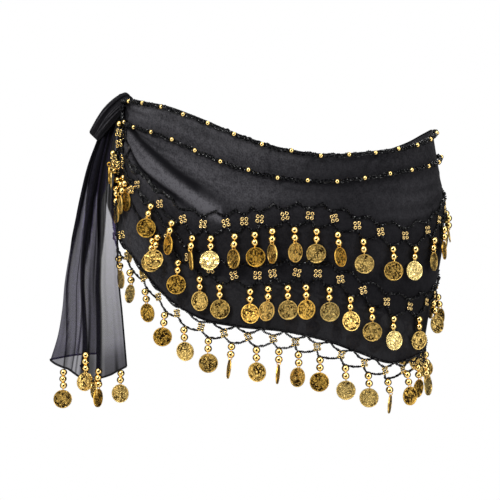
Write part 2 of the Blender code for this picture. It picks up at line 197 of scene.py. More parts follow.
# %% Sockets in arithmetic
class Wire:
    """One socket, used like a number, a vector or a colour. An operator on it adds a node and wires it up."""

    def __init__(self, tree, socket=None):
        self.tree, self.socket = tree, socket

    def add(self, kind, settings, *values, out=0):
        """Any other node: its type, its settings, then a value or a wire for each socket in order."""
        node = self.tree.nodes.new(kind)
        for name, value in settings.items():
            setattr(node, name, value)
        for socket, value in zip([s for s in node.inputs if s.enabled], values):
            if isinstance(value, Wire):
                self.tree.links.new(value.socket, socket)
            elif value is not None:
                wide = {"RGBA": 4, "VECTOR": 3}.get(socket.type, 0)
                socket.default_value = (value,) * wide if wide and isinstance(value, float) else value
        return Wire(self.tree, [s for s in node.outputs if s.enabled][out])

    def kind_with(self, other):
        kinds = {self.socket.type, other.socket.type if isinstance(other, Wire) else "VALUE"}
        return "RGBA" if "RGBA" in kinds else "VECTOR" if "VECTOR" in kinds else "VALUE"

    def operate(self, operation, first, second):
        kind = self.kind_with(second if first is self else first)
        if kind == "RGBA":
            blend = {"data_type": "RGBA", "blend_type": operation, "clamp_factor": True}
            return self.add("ShaderNodeMix", blend, 1.0, first, second)
        node = "ShaderNodeVectorMath" if kind == "VECTOR" else "ShaderNodeMath"
        return self.add(node, {"operation": operation}, first, second)

    def __add__(self, other):
        return self.operate("ADD", self, other)

    def __radd__(self, other):
        return self.operate("ADD", other, self)

    def __sub__(self, other):
        return self.operate("SUBTRACT", self, other)

    def __rsub__(self, other):
        return self.operate("SUBTRACT", other, self)

    def __mul__(self, other):
        return self.operate("MULTIPLY", self, other)

    def __rmul__(self, other):
        return self.operate("MULTIPLY", other, self)

    def math(self, operation, *others):
        """A Math node: SINE, POWER, MAXIMUM and the like."""
        return self.add("ShaderNodeMath", {"operation": operation}, self, *others)

    def step(self, low, high):
        """0 below low, 1 above high, and smooth between them."""
        return self.add("ShaderNodeMapRange", {"interpolation_type": "SMOOTHSTEP"}, self, low, high, 0.0, 1.0)

    def blend(self, start, end, clamp=True):
        """A colour that goes from start to end as this factor goes from 0 to 1."""
        return self.add("ShaderNodeMix", {"data_type": "RGBA", "clamp_factor": clamp}, self, start, end)


def material(name, **constants):
    """A Principled material with its constant sockets set, and a wire to build its formulas from."""
    made = bpy.data.materials.new(name)
    made.use_nodes = True
    shader = made.node_tree.nodes["Principled BSDF"]
    for socket, value in constants.items():
        shader.inputs[socket.replace("_", " ")].default_value = value
    return made, Wire(made.node_tree), shader


def plug(wire, shader, socket):
    """Joins a wire to one of the shader's sockets."""
    wire.tree.links.new(wire.socket, shader.inputs[socket])


print("wires ready")

# %% [markdown]
# ## Chiffon
# Chiffon is a plain weave of very fine, hard-twisted thread with gaps between, so one layer lets light through,
# two layers are nearly dark, and a crease reads as a dark line. The cloth is one open surface, with an alpha
# that says how much of the light a layer stops. Two attributes painted on the mesh follow the creases: cover
# adds alpha where cloth lies double, and pale is painted light and shade, how far the colour goes from black
# thread to lit grey where light falls on the cloth or shines through it. Cover also takes that painted light out
# of the colour, a painted shade in the creases. The grain is a small noise on the cloth's own UV map, which is in
# metres of cloth.

# %% Black chiffon
BLACK_THREAD = (0.0045, 0.0043, 0.0058, 1.0)
# LIT_THREAD is painted light: the grey that pale lifts the black thread to where light falls on the cloth.
LIT_THREAD = (0.105, 0.102, 0.112, 1.0)
GRAINS_PER_METRE = 640.0
WEAVE_PER_METRE = 1500.0


def chiffon(name, layer_alpha, doubled_alpha, lilac=(0.0, 0.0, 0.0)):
    """Chiffon whose single layer stops layer_alpha of the light and whose creases stop doubled_alpha."""
    lit = tuple(a + b for a, b in zip(LIT_THREAD[:3], lilac)) + (1.0,)
    made, wire, shader = material(name, Roughness=0.82, Specular_IOR_Level=0.08, Sheen_Weight=0.02,
                                  Sheen_Roughness=0.45)
    cloth = wire.add("ShaderNodeUVMap", {"uv_map": "cloth"})
    cover = wire.add("ShaderNodeAttribute", {"attribute_name": "cover"}, out=2)
    pale = wire.add("ShaderNodeAttribute", {"attribute_name": "pale"}, out=2)
    grain = wire.add("ShaderNodeTexNoise", {}, cloth, GRAINS_PER_METRE, 1.0, 0.5)
    drift = wire.add("ShaderNodeTexNoise", {}, cloth, 16.0, 2.0, 0.5)
    mottle = wire.add("ShaderNodeTexNoise", {}, cloth, 210.0, 3.0, 0.6)
    uneven = grain.step(0.30, 0.70) * 0.60 + mottle.step(0.30, 0.70) * 0.62 + drift.step(0.30, 0.70) * 0.46
    # Painted light and shade: pale lifts the colour towards the lit grey, tinted lilac on the tail, and cover takes
    # it away again, a painted shade where cloth lies double; uneven is the cloth's own random grain.
    shade = pale * (1.0 - cover) * (uneven + 0.18)
    plug(shade.blend(BLACK_THREAD, lit), shader, "Base Color")
    plug(cover * (doubled_alpha - layer_alpha) + layer_alpha, shader, "Alpha")
    weave = wire.add("ShaderNodeTexWave", {"wave_type": "BANDS", "bands_direction": "DIAGONAL"}, cloth,
                     WEAVE_PER_METRE * 0.16, 0.6, 1.0, out=1)
    slub = wire.add("ShaderNodeTexNoise", {}, cloth, 90.0, 2.0, 0.5)
    plug(wire.add("ShaderNodeBump", {}, 0.25, 0.0004, 0.1, weave * 0.4 + slub), shader, "Normal")
    return made


WRAP_CLOTH = chiffon("black chiffon over the hips", 0.993, 0.999)
TAIL_CLOTH = chiffon("black chiffon hanging free", 0.555, 0.985, lilac=(0.06, 0.03, 0.20))
KNOT_CLOTH = chiffon("black chiffon folded and knotted", 0.95, 0.999)
ROLLED, _, _ = material("rolled chiffon edge", Base_Color=(0.006, 0.006, 0.008, 1.0), Roughness=0.7,
                        Specular_IOR_Level=0.2)
print("chiffon:", WRAP_CLOTH.name, TAIL_CLOTH.name, KNOT_CLOTH.name)

# %% [markdown]
# ## Beads and coins
# The seed beads are black glass, so they are dark with a hard white speck each. The gold is thin plating on
# light pressed metal: bright on the high places and brown in the hollows, where it was antiqued. The ornament
# pressed into a coin is a plain rosette in a ring of leaves, drawn by a formula in the coin's own UV map, with
# hollows and scratches that differ from coin to coin.

# %% Glass, gold and the pressed coin
SEED_GLASS, _, _ = material("black glass seed beads", Base_Color=(0.003, 0.003, 0.004, 1.0), Roughness=0.2,
                            Specular_IOR_Level=0.32)
BEAD_GOLD, _, _ = material("gold plated beads", Base_Color=(0.95, 0.68, 0.25, 1.0), Metallic=1.0, Roughness=0.11)

RING_GOLD, _, _ = material("gilt flower rings", Base_Color=(1.0, 0.72, 0.30, 1.0), Metallic=0.76, Roughness=0.24)
COIN_GOLD, wire, shader = material("pressed gold coins", Metallic=0.9)
face = wire.add("ShaderNodeSeparateXYZ", {}, wire.add("ShaderNodeUVMap", {"uv_map": "face"}))
across = face - 0.5
up = Wire(wire.tree, face.socket.node.outputs[1]) - 0.5
radius = (across * across + up * up).math("SQRT") * 2.0
angle = up.math("ARCTAN2", across)
PETALS = 7.0
place = wire.add("ShaderNodeTexCoord", {}, out=3)
petal = (angle * PETALS).math("SINE") * 0.5 + 0.5
leaf = (angle * PETALS + radius * 12.0).math("SINE") * 0.5 + 0.5
boss = 1.0 - radius.step(0.12, 0.18)
rosette = petal.step(0.34, 0.60) * radius.step(0.24, 0.31) * (1.0 - radius.step(0.48, 0.54))
leaves = leaf.step(0.40, 0.60) * radius.step(0.54, 0.60) * (1.0 - radius.step(0.74, 0.80))
rim = radius.step(0.89, 0.93)
relief = (boss + rosette + leaves + rim).math("MINIMUM", 1.0)
scrolls = wire.add("ShaderNodeTexNoise", {}, place, 330.0, 1.5, 0.5)
scratch = 1.0 - ((scrolls - 0.5) * 2.0).math("ABSOLUTE").step(0.05, 0.17)
worn = wire.add("ShaderNodeTexNoise", {}, place, 150.0, 1.0, 0.5)
antique = wire.add("ShaderNodeAttribute", {"attribute_name": "antique"}, out=2)
inside = 1.0 - rim
hollows = (1.0 - relief) * 0.58 + scratch * 1.15 * inside
recess = hollows * (worn.step(0.36, 0.60) * 0.75 + 0.35) * (antique * 0.75 + 0.35)
struck = antique.blend((1.0, 0.77, 0.30, 1.0), (1.0, 0.58, 0.09, 1.0))
plug(recess.math("MINIMUM", 1.0).blend(struck, (0.020, 0.008, 0.001, 1.0)), shader, "Base Color")
plug(0.26 + antique * 0.08, shader, "Roughness")
plug(wire.add("ShaderNodeBump", {}, 1.0, 0.0011, 0.1, relief * 0.6 - scratch * 0.4 + worn), shader, "Normal")
print("coin relief: %d petals" % PETALS)

# %% [markdown]
# ## How a sheet of cloth is made
# A real sheet is cut flat and then draped. Here a grid primitive is the flat cut: it comes with its UV map, and
# each of its vertices is moved to its place on the draped form. A grid keeps the rows and columns of the cloth,
# so creases can be laid along them, which a sculpted or simulated mesh wouldn't allow.

# %% Helpers for sheets and rolled edges
def fresh():
    """Deselects everything, so that the next operator acts on the new piece only."""
    if bpy.context.mode != "OBJECT":
        bpy.ops.object.mode_set(mode="OBJECT")
    bpy.ops.object.select_all(action="DESELECT")


def sheet(name, points, finish, cover, pale):
    """A grid whose vertices are moved to points[row, column], in millimetres, with its cover and pale, its painted
    light and shade, painted on.
    """
    rows, columns = points.shape[:2]
    fresh()
    bpy.ops.mesh.primitive_grid_add(x_subdivisions=columns - 1, y_subdivisions=rows - 1, size=1.0)
    made = bpy.context.active_object
    made.name = made.data.name = name
    mesh = made.data
    flat = np.empty(len(mesh.vertices) * 3)
    mesh.vertices.foreach_get("co", flat)
    flat = flat.reshape(-1, 3)
    column = np.rint((flat[:, 0] + 0.5) * (columns - 1)).astype(int)
    row = np.rint((0.5 - flat[:, 1]) * (rows - 1)).astype(int)
    mesh.vertices.foreach_set("co", (points[row, column] * MM).ravel())
    for label, values in (("cover", cover), ("pale", pale)):
        painted = mesh.attributes.new(label, "FLOAT", "POINT")
        painted.data.foreach_set("value", np.clip(values[row, column], 0, 1).astype(np.float32))
    along = np.linalg.norm(np.diff(points, axis=1, prepend=points[:, :1]), axis=2).mean(axis=0).cumsum()
    down = np.linalg.norm(np.diff(points, axis=0, prepend=points[:1]), axis=2).mean(axis=1).cumsum()
    corner = np.empty(len(mesh.loops), dtype=np.int32)
    mesh.loops.foreach_get("vertex_index", corner)
    cut = np.stack([along[column[corner]], down[row[corner]]], axis=1) * MM
    mesh.uv_layers[0].name = "cloth"
    mesh.uv_layers["cloth"].data.foreach_set("uv", cut.astype(np.float32).ravel())
    bpy.ops.object.shade_smooth()
    mesh.materials.append(finish)
    print("%s: %d x %d, cut %.0f x %.0f mm" % (name, columns, rows, along[-1], down[-1]))
    return made


def rolled_edge(name, points, radius, sides=6):
    """A cloth edge rolled and stitched: a round cord on a line of points, in millimetres."""
    fresh()
    bpy.ops.curve.primitive_nurbs_path_add()
    made = bpy.context.active_object
    made.name = name
    line = made.data
    line.splines.clear()
    spline = line.splines.new("POLY")
    spline.points.add(len(points) - 1)
    spline.points.foreach_set("co", np.column_stack([points * MM, np.ones(len(points))]).ravel())
    line.bevel_depth, line.bevel_resolution, line.use_fill_caps = radius * MM, max(sides // 2 - 2, 0), True
    bpy.ops.object.convert(target="MESH")
    bpy.ops.object.shade_smooth()
    made = bpy.context.active_object
    made.data.materials.append(ROLLED)
    return made


def join(name, pieces):
    """Joins pieces into the first one and names it."""
    fresh()
    for piece in pieces:
        piece.select_set(True)
    bpy.context.view_layer.objects.active = pieces[0]
    if len(pieces) > 1:
        bpy.ops.object.join()
    pieces[0].name = pieces[0].data.name = name
    return pieces[0]


print("sheet helpers ready")

# %% [markdown]
# ## The hip wrap
# The part of the cloth that goes round the hips. Its two ends are bunched to a few centimetres by the tie, so
# its columns are closer together there. The creases are real troughs in the mesh as well as painted cover,
# which also paints shade into the colour. Its colour carries painted light and shade too: lighter on the
# stretched cloth above the upper row, with painted shadow under the rope and the rows and towards the tie.

# %% A helper for gathers
def run_of(points, along):
    """Length of cloth along the rows (along=1) or the columns (along=0) of a grid of points."""
    return np.linalg.norm(np.diff(points, axis=along), axis=-1).sum(axis=along)


def gathered(points, direction, along, folds, wanted, most, where=1.0):
    """Small folds across a grid, so that each line of it holds the wanted length of cloth, or as near as most
    allows."""
    count = points.shape[along]
    wave = 0.5 - 0.5 * np.cos(2 * np.pi * folds * np.linspace(0, 1, count))
    wave = (wave[None, :] if along == 1 else wave[:, None]) * where
    low, high = np.zeros(points.shape[1 - along]), np.full(points.shape[1 - along], float(most))
    for _ in range(18):
        middle = (low + high) / 2
        deep = middle[:, None] if along == 1 else middle[None, :]
        short = run_of(points + direction * (wave * deep)[..., None], along) < wanted
        low, high = np.where(short, middle, low), np.where(short, high, middle)
    deep = high[:, None] if along == 1 else high[None, :]
    return points + direction * (wave * deep)[..., None]


print("gathers ready")

# %% Drape the hip wrap
WRAP_COLUMNS, WRAP_ROWS = 440, 84
CROWDING = 0.7          # how much closer the columns are at the tie

PAINTED_LIGHT_ROUND = np.array([       # turn, painted light: how much lighter the stretched cloth is made there, by how light falls round the hips
    (5, 0.5), (16, 1.1), (30, 1.30), (50, 1.05), (62, 0.88), (75, 0.76), (85, 0.70), (95, 0.48), (105, 0.30),
    (113, 0.26), (125, 0.34), (140, 0.44), (160, 0.46), (180, 0.5), (200, 0.6), (215, 0.4), (232, 0.3), (250, 0.42),
    (270, 0.7), (300, 0.9), (330, 1.3), (345, 1.1), (355, 0.5),
])
PALE_WEDGE = np.array([  # turn, middle height, half height of the single layer between the two great folds, which is painted lighter
    (5, 29, 1), (13, 20, 3), (24, 6, 6), (32, -9, 9), (43, -27, 12), (54, -46, 13), (62, -60, 12), (72, -78, 8),
])

share = np.linspace(0, 1, WRAP_COLUMNS)
turns = FIRST_TURN + (LAST_TURN - FIRST_TURN) * (share - CROWDING * np.sin(2 * np.pi * share) / (2 * np.pi))
waist, hem = read(SECTIONS, turns, WAIST), read(SECTIONS, turns, HEM)
down = np.linspace(0, 1, WRAP_ROWS)[:, None]
heights = waist + (hem - waist) * down
turn_grid = np.broadcast_to(turns, heights.shape)
push, cover = crease(turn_grid, heights)
points = wrap_point(turn_grid, heights)
inward = points * (-1, -1, 0)
inward = inward / np.linalg.norm(inward, axis=-1, keepdims=True)
TIE_CLOTH = 150.0       # how wide a cloth the gathers at the tie aim for
TIE_FOLDS, TIE_DEEP = 9, 3.2
at_tie = np.clip((16 - np.minimum(turn_grid - FIRST_TURN, LAST_TURN - turn_grid)) / 9, 0, 1) ** 0.7
before = run_of(points, 0).mean()
points = gathered(points, inward, 0, TIE_FOLDS, TIE_CLOTH, TIE_DEEP, at_tie)
print("wrap: cloth across %.0f mm before gathers, %.0f mm with them; round the hips %.0f to %.0f mm" % (
    before, run_of(points, 0).mean(), run_of(points, 1).min(), run_of(points, 1).max()))
to_row = (heights - read(SECTIONS, turn_grid, UPPER)) / 14
to_rope = (heights - read(SECTIONS, turn_grid, ROPE)) / 10
to_middle = (heights - read(SECTIONS, turn_grid, MIDDLE)) / 12
# Painted light and shade in pale: the stretched cloth above the upper row is painted lighter, and the slack cloth
# below it darker, a little lighter round turn 32.
stretched = 1 / (1 + np.exp(-2.2 * (to_row - 0.5)))
slack_painted_light = (0.085 + 0.24 * np.exp(-((turn_grid - 32) / 15) ** 2)) * (1 - stretched)
pale = slack_painted_light + 0.52 * stretched * read(PAINTED_LIGHT_ROUND, turn_grid, 1)
# Painted shadow under the second rope and just below the upper and middle rows.
rope_shadow = 0.45 * np.exp(-to_rope ** 2)
pale *= 1 - rope_shadow - 0.35 * np.exp(-(to_row - 0.2) ** 2) - 0.35 * np.exp(-(to_middle - 0.2) ** 2)
# Painted light on the single layer between the two great folds.
wedge = read(PALE_WEDGE, turn_grid, 1)
in_wedge = np.exp(-((heights - wedge) / read(PALE_WEDGE, turn_grid, 2)) ** 4)
pale += 0.62 * in_wedge * (turn_grid < 70) * np.clip((turn_grid - 12) / 14, 0.2, 1)
# Painted shade towards the tie at both ends.
pale *= np.clip(0.30 + np.minimum(turn_grid - 8, 354 - turn_grid) / 12, 0.30, 1)
hip_wrap = sheet("hip_wrap_cloth", points, WRAP_CLOTH, cover, pale)
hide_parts("hip_wrap")

hem_roll = rolled_edge("hip_wrap_hem", wrap_point(turns, hem), 0.9)
waist_roll = rolled_edge("waist_edge", wrap_point(turns, waist), 0.7)
wrap_edges = join("hip_wrap_rolled_edges", [hem_roll, waist_roll])
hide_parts("hip_wrap")

# %% [markdown]
# ## The hanging tail
# One end of the cloth falls from the tie. It is folded round its left edge, so a shorter back layer shows
# below it, and two box pleats lie on its front. Those folds are real: the row of points runs forward, back and
# forward again, so the sheer cloth darkens by itself where three layers cross. The edges of the pleats move
# with height, from a tight bunch at the top to open panels at the hem. Cover makes the pleats, gathers and
# creases darker still, partly as cloth lying double and partly as painted shade, and pale paints light on the
# cloth, with painted sheen streaks near the top.

# %% Drape the tail
TAIL_SECTIONS = np.array([  # height, left, right, Y of the right edge, share of the fold depth
    (-228, -247.7, -164.6, -37, 1.15), (-202, -239.5, -167, -38.5, 1.1), (-174, -234.5, -169.5, -40, 1.05),
    (-143, -231.3, -172.5, -41.5, 1.05), (-99, -223.7, -174, -42, 1.0), (-78, -219.5, -175.8, -41.5, 0.95),
    (-56, -215.5, -177.6, -39, 0.9), (-20, -208, -177.2, -29, 0.8), (10, -199.8, -176.8, -8, 0.6),
    (22, -196.3, -176.0, -0.5, 0.5), (33, -192, -174.0, 1.5, 0.4), (44, -187, -172, 4, 0.3),
])
PLEATS = np.array([  # height, then where across the tail: two thin creases, first pleat, second pleat
    (-228, 0.19, 0.29, 0.40, 0.48, 0.60, 0.685), (-206, 0.16, 0.286, 0.39, 0.468, 0.591, 0.678),
    (-163, 0.08, 0.243, 0.334, 0.403, 0.576, 0.679), (-110, 0.05, 0.24, 0.262, 0.364, 0.577, 0.683),
    (-56, 0.05, 0.21, 0.226, 0.427, 0.545, 0.70), (-44, 0.05, 0.20, 0.21, 0.485, 0.49, 0.80),
    (0, 0.05, 0.18, 0.20, 0.50, 0.50, 0.85), (44, 0.05, 0.18, 0.20, 0.50, 0.50, 0.85),
])
THIN_A, THIN_B, FIRST_LEFT, FIRST_RIGHT, SECOND_LEFT, SECOND_RIGHT = range(1, 7)
BUNCHED = -44.0         # above this height the folds of the tail cover one another
TAIL_PATH = (  # where across (a share, or a pleat's edge), depth, how much lower the hem is there
    (0.60, 8.5, -6), (0.34, 8.2, -5), (0.07, 6.0, -1), (0.0, 3.0, 0), (0.07, 0.0, 4), (THIN_A, -0.8, 8.5),
    (0.24, -0.6, 9.5), (THIN_B, -1.2, 12), (FIRST_LEFT, -3.6, 18), (FIRST_RIGHT, -5.2, 15),
    (FIRST_LEFT, -1.8, 5), (FIRST_RIGHT, -1.4, 12), (0.53, -2.6, 22), (SECOND_LEFT, -4.2, 23),
    (SECOND_RIGHT, -5.4, 23), (SECOND_LEFT, -1.8, 17), (SECOND_RIGHT, -1.2, 19), (0.80, -0.2, 16),
    (0.88, 0.4, 12), (1.0, 0.0, 7),
)
TAIL_TOP, TAIL_HEM = 44.0, -228.0
TAIL_ROWS, PATH_STEPS = 120, 9


def pleat_share(place, height):
    """A place of the path as a share across the tail: a number stays, a pleat's column is read from its table."""
    return read(PLEATS, height, place) if isinstance(place, int) and place else np.full_like(height, place)


def smooth_rows(values, times):
    """Rounds off a path's corners along each row."""
    for _ in range(times):
        values = values.copy()
        values[:, 1:-1] = (values[:, :-2] + 2 * values[:, 1:-1] + values[:, 2:]) / 4
    return values


level = np.linspace(0, 1, TAIL_ROWS) ** 0.92
base = TAIL_TOP + (TAIL_HEM - TAIL_TOP) * level
knots = np.arange(len(TAIL_PATH))
steps = np.linspace(0, len(knots) - 1, (len(knots) - 1) * PATH_STEPS + 1)
across = np.stack([pleat_share(p, base) for p, _, _ in TAIL_PATH], axis=1)
across = smooth_rows(np.stack([np.interp(steps, knots, row) for row in across]), 5)
depth = smooth_rows(np.tile(np.interp(steps, knots, [d for _, d, _ in TAIL_PATH]), (TAIL_ROWS, 1)), 5)
lower = smooth_rows(np.tile(np.interp(steps, knots, [h for _, _, h in TAIL_PATH]), (TAIL_ROWS, 1)), 3)
front = (steps > 3)[None, :]
base = base[:, None]
left, right = read(TAIL_SECTIONS, base, 1), read(TAIL_SECTIONS, base, 2)
ripple = 1.2 * np.sin(across * 21 + base * 0.012) * level[:, None] * (across > 0.1)
tail_y = read(TAIL_SECTIONS, base, 3) + (depth + ripple) * read(TAIL_SECTIONS, base, 4)
tail_z = base - lower * level[:, None] ** 6
tail_points = np.stack([left + (right - left) * across, tail_y, tail_z], axis=-1)


def dark_band(middle, low_half, high_half, start):
    """Cover of a pleat that is low_half wide at the hem and widens to high_half where the tail is bunched."""
    widen = np.clip((base - start) / (BUNCHED - start), 0, 1.6) ** 0.9
    half = low_half + (high_half - low_half) * widen
    return np.clip(0.5 + (half - np.abs(across - middle)) / 0.022, 0, 1) * (half > 0)


def pleat(column):
    return read(PLEATS, base, column)


# bunched: where the tail is bunched; it sets the gathers and adds cover, cloth lying double, with painted shade in
# the colour.
bunched = np.clip((base - BUNCHED) / 6, 0, 1)
bunched = np.maximum(bunched, dark_band(pleat(THIN_A), 0.016, 0.115, -118))
bunched = np.maximum(bunched, dark_band(0.345, 0.012, 0.15, -132))
bunched = np.maximum(bunched, dark_band(0.655, 0.010, 0.16, -128))
bunched = np.maximum(bunched, dark_band(0.92, -0.12, 0.24, -92))
TAIL_FOLDS, TAIL_DEEP = 17, 6.5
hem_cloth = run_of(tail_points, 1)[-1]
tail_before = run_of(tail_points, 1).mean()
tail_points = gathered(tail_points, np.array([0.0, -1.0, 0.0]), 1, TAIL_FOLDS, hem_cloth, TAIL_DEEP, bunched)
print("tail: %.0f mm of cloth at the hem, %.0f mm along it; rows %.0f mm before gathers, %.0f mm with them" % (
    hem_cloth, run_of(tail_points, 0).mean(), tail_before, run_of(tail_points, 1).mean()))
# Painted sheen: lighter streaks through the bunched cover.
bunched *= 1 - 0.24 * np.clip(np.sin(across * 62 + 1.0) * np.sin(across * 23 + 2.0), 0, 1)
# Cover inside the two box pleats and on the two thin creases: cloth lying double, and painted shade in the colour.
folded = np.zeros_like(across)
for first, last in ((FIRST_LEFT, FIRST_RIGHT), (SECOND_LEFT, SECOND_RIGHT)):
    past_left = np.clip((across - pleat(first) + 0.008) / 0.012, 0, 1)
    inside = past_left * np.clip((pleat(last) + 0.008 - across) / 0.012, 0, 1)
    folded = np.maximum(folded, inside * 0.95)
for place, width in ((THIN_A, 0.014), (THIN_B, 0.011)):
    folded = np.maximum(folded, np.exp(-((across - pleat(place)) / width) ** 4) * (base < -86) * 0.95)
# Cover of the single layer, which sets how much of the backdrop shows through: darker streaks, a lighter spot by
# the first pleat, a darker strip between the pleats, the right panel lighter at the top and darker towards the hem
# as painted shade, and darker again along the very hem.
streaks = 0.30 * np.clip(np.sin(across * 47 + 1.3) * np.sin(across * 18 + base * 0.02), 0, 1)
panel = np.clip((across - pleat(SECOND_RIGHT)) / 0.04, 0, 1)
between = np.exp(-((across - 0.525) / 0.078) ** 4) * np.clip(level[:, None] * 1.6, 0, 1)
thin_spot = np.clip((across - pleat(THIN_B)) / 0.02, 0, 1) * np.clip((pleat(FIRST_LEFT) - across) / 0.02, 0, 1)
single = 0.36 + streaks * (1 - 0.6 * panel) - 0.2 * thin_spot
single = single + panel * (0.80 * level[:, None] ** 2 - 0.42) + 0.36 * between
single = single + 0.16 * np.clip((level[:, None] - 0.90) / 0.05, 0, 1)
tail_cover = np.where(front, np.maximum(np.maximum(single, folded), bunched), np.maximum(0.22, bunched))
# Painted sheen: lighter streaks across the top of the tail, in pale and cover; pale also paints the right panel
# lighter towards the top.
top_sheen_streaks = np.clip(np.sin(across * 44 + 0.6) * np.sin(across * 17 + 1.4), 0, 1)
top_sheen_streaks = top_sheen_streaks * np.clip((base + 120) / 60, 0, 1)
tail_pale = np.clip(0.30 + 0.16 * panel * (1 - 0.4 * level[:, None]) + 0.95 * top_sheen_streaks, 0, 1.3)
tail_cover = tail_cover - 0.10 * top_sheen_streaks
tail_cloth = sheet("tail_cloth", tail_points, TAIL_CLOTH, tail_cover, tail_pale)
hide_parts("tail")

tail_edges = join("tail_rolled_edges", [
    rolled_edge("tail_hem", tail_points[-1], 1.15), rolled_edge("tail_selvedge", tail_points[4:, -1], 0.95),
    rolled_edge("tail_back_selvedge", tail_points[30:, 0], 0.6)])
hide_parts("tail")

# %% [markdown]
# ## The tie
# Both ends are wound once round each other, and one is pushed back through as a half bow. The wound part is
# made from a sphere whose points are moved, and grooves are pressed where one turn of cloth lies on the next.
# Its grooves and gathers get painted shadow, and its upper half is painted lighter than the lower. The bow is one
# flat tube of cloth, with creases that run from the tie to the tip; they get painted shadow, and painted highlight
# streaks run along the bow. Both get a thin wall inside.

# %% The wound part of the tie
KNOT_CENTRE = np.array([-171.0, 0.0, 45.0])
KNOT_HALF = np.array([13.2, 12.3, 17.4])
GROOVES = (  # slant of the groove, where it is, how deep, how wide
    (0.9, -0.75, 1.7, 0.10), (0.7, -0.35, 1.3, 0.09), (0.8, 0.05, 2.2, 0.12), (0.6, 0.42, 1.2, 0.08),
    (0.9, 0.80, 1.6, 0.10), (-1.2, 0.10, 1.1, 0.09), (-1.0, 0.70, 0.9, 0.08),
)
GATHER_FOLDS, GATHER_DEEP = 10, 2.3
GATHER_FROM = 0.22      # the cloth is drawn in beyond this share of the way from the middle to each end
fresh()
bpy.ops.mesh.primitive_uv_sphere_add(segments=110, ring_count=48, radius=1.0)
knot = bpy.context.active_object
mesh = knot.data
ball = np.empty(len(mesh.vertices) * 3)
mesh.vertices.foreach_get("co", ball)
ball = ball.reshape(-1, 3)
groove, shadow = np.zeros(len(ball)), np.zeros(len(ball))
for slant, place, cut_in, width in GROOVES:
    near = np.exp(-((ball[:, 0] * slant + ball[:, 2] * 0.8 - place + 0.15 * ball[:, 1]) / width) ** 2)
    groove += cut_in * near
    shadow = np.maximum(shadow, near)
around = np.arctan2(ball[:, 1], ball[:, 0])
off_pole = np.clip(np.hypot(ball[:, 0], ball[:, 1]) / 0.35, 0, 1)
drawn_in = np.clip((np.abs(ball[:, 2]) - GATHER_FROM) / 0.45, 0, 1) * off_pole
pleats = 0.5 + 0.5 * np.cos(GATHER_FOLDS * around + 1.5 * ball[:, 2] + 0.7 * np.sin(2 * around))
pleats *= 0.78 + 0.22 * np.sin(2 * around + 1)
groove += GATHER_DEEP * drawn_in * pleats
shadow = np.maximum(shadow, 0.7 * drawn_in * pleats)
round_off = np.sign(ball) * np.abs(ball) ** 0.86
spot = KNOT_CENTRE + round_off * KNOT_HALF - ball * groove[:, None]
mesh.vertices.foreach_set("co", (spot * MM).ravel())
# Painted light and shade: the grooves and gathers are darkened by painted shadow, in pale and cover, and the upper
# half is painted lighter than the lower.
knot_pale = 0.55 * (1 - shadow) * (0.4 + 0.6 * (ball[:, 2] > 0))
for label, values in (("cover", 0.5 + 0.5 * shadow), ("pale", knot_pale)):
    mesh.attributes.new(label, "FLOAT", "POINT").data.foreach_set("value", values.astype(np.float32))
mesh.uv_layers[0].name = "cloth"
turned = np.empty(len(mesh.loops) * 2, dtype=np.float32)
mesh.uv_layers["cloth"].data.foreach_get("uv", turned)
mesh.uv_layers["cloth"].data.foreach_set("uv", turned * np.float32(0.08))
bpy.ops.object.shade_smooth()
mesh.materials.append(KNOT_CLOTH)
knot.name = mesh.name = "tie_knot_cloth"
CLOTH_WALL = 0.3


def walled(piece):
    """Gives a closed or tube-shaped skin the thickness of cloth, inwards."""
    fresh()
    piece.select_set(True)
    bpy.context.view_layer.objects.active = piece
    wall = piece.modifiers.new("cloth wall", "SOLIDIFY")
    wall.thickness, wall.offset = CLOTH_WALL * MM, -1.0
    bpy.ops.object.modifier_apply(modifier=wall.name)


walled(knot)
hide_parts("tie_knot")
print("knot:", len(mesh.polygons), "faces")

# %% The half bow
LOOP_EDGES = np.array([  # share along, outer edge x z, inner edge x z, middle's Y, half thickness
    (0.00, -161.5, 56.5, -159.5, 49.0, -12.0, 1.6), (0.08, -164.5, 60.6, -161.5, 46.0, -13.5, 2.2),
    (0.16, -168.6, 62.0, -165.5, 43.0, -14.2, 2.8), (0.28, -176.4, 58.4, -171.5, 38.0, -14.6, 3.2),
    (0.42, -185.0, 51.8, -177.5, 31.5, -14.2, 3.8), (0.56, -192.8, 43.6, -183.5, 24.5, -13.6, 4.4),
    (0.70, -198.8, 34.8, -188.5, 18.5, -13.0, 4.6), (0.83, -203.2, 27.2, -192.8, 13.0, -12.6, 4.2),
    (0.93, -206.6, 21.0, -196.2, 9.8, -12.2, 3.2), (0.98, -207.4, 18.6, -198.4, 9.2, -12.0, 1.8),
    (1.00, -206.6, 17.0, -199.2, 9.8, -12.0, 0.7),
])
LOOP_CREASES = ((-0.62, 0.9, 0.14), (-0.28, 1.3, 0.10), (0.02, 1.0, 0.09), (0.34, 1.5, 0.12), (0.66, 1.0, 0.12),
                (-0.46, 0.6, 0.045), (-0.12, 0.7, 0.04), (0.16, 0.7, 0.045), (0.52, 0.8, 0.04), (0.84, 0.6, 0.05))
LOOP_HIGHLIGHTS = (  # painted highlight streaks: where across, how wide, how much it slants, how bright
    (0.22, 0.07, 0.25, 1.5), (0.74, 0.06, 0.10, 1.2), (0.48, 0.045, 0.30, 1.1), (-0.08, 0.05, 0.15, 1.2),
    (-0.45, 0.05, -0.10, 0.9), (0.93, 0.04, 0.0, 1.0),
)
ROUND, ALONG = 97, 70
along = np.linspace(0, 1, ALONG)[:, None]
turn = np.linspace(0, 2 * np.pi, ROUND)[None, :]
side = np.cos(turn)                                  # -1 at the inner edge, 1 at the outer edge
outer_x, outer_z = read(LOOP_EDGES, along, 1), read(LOOP_EDGES, along, 2)
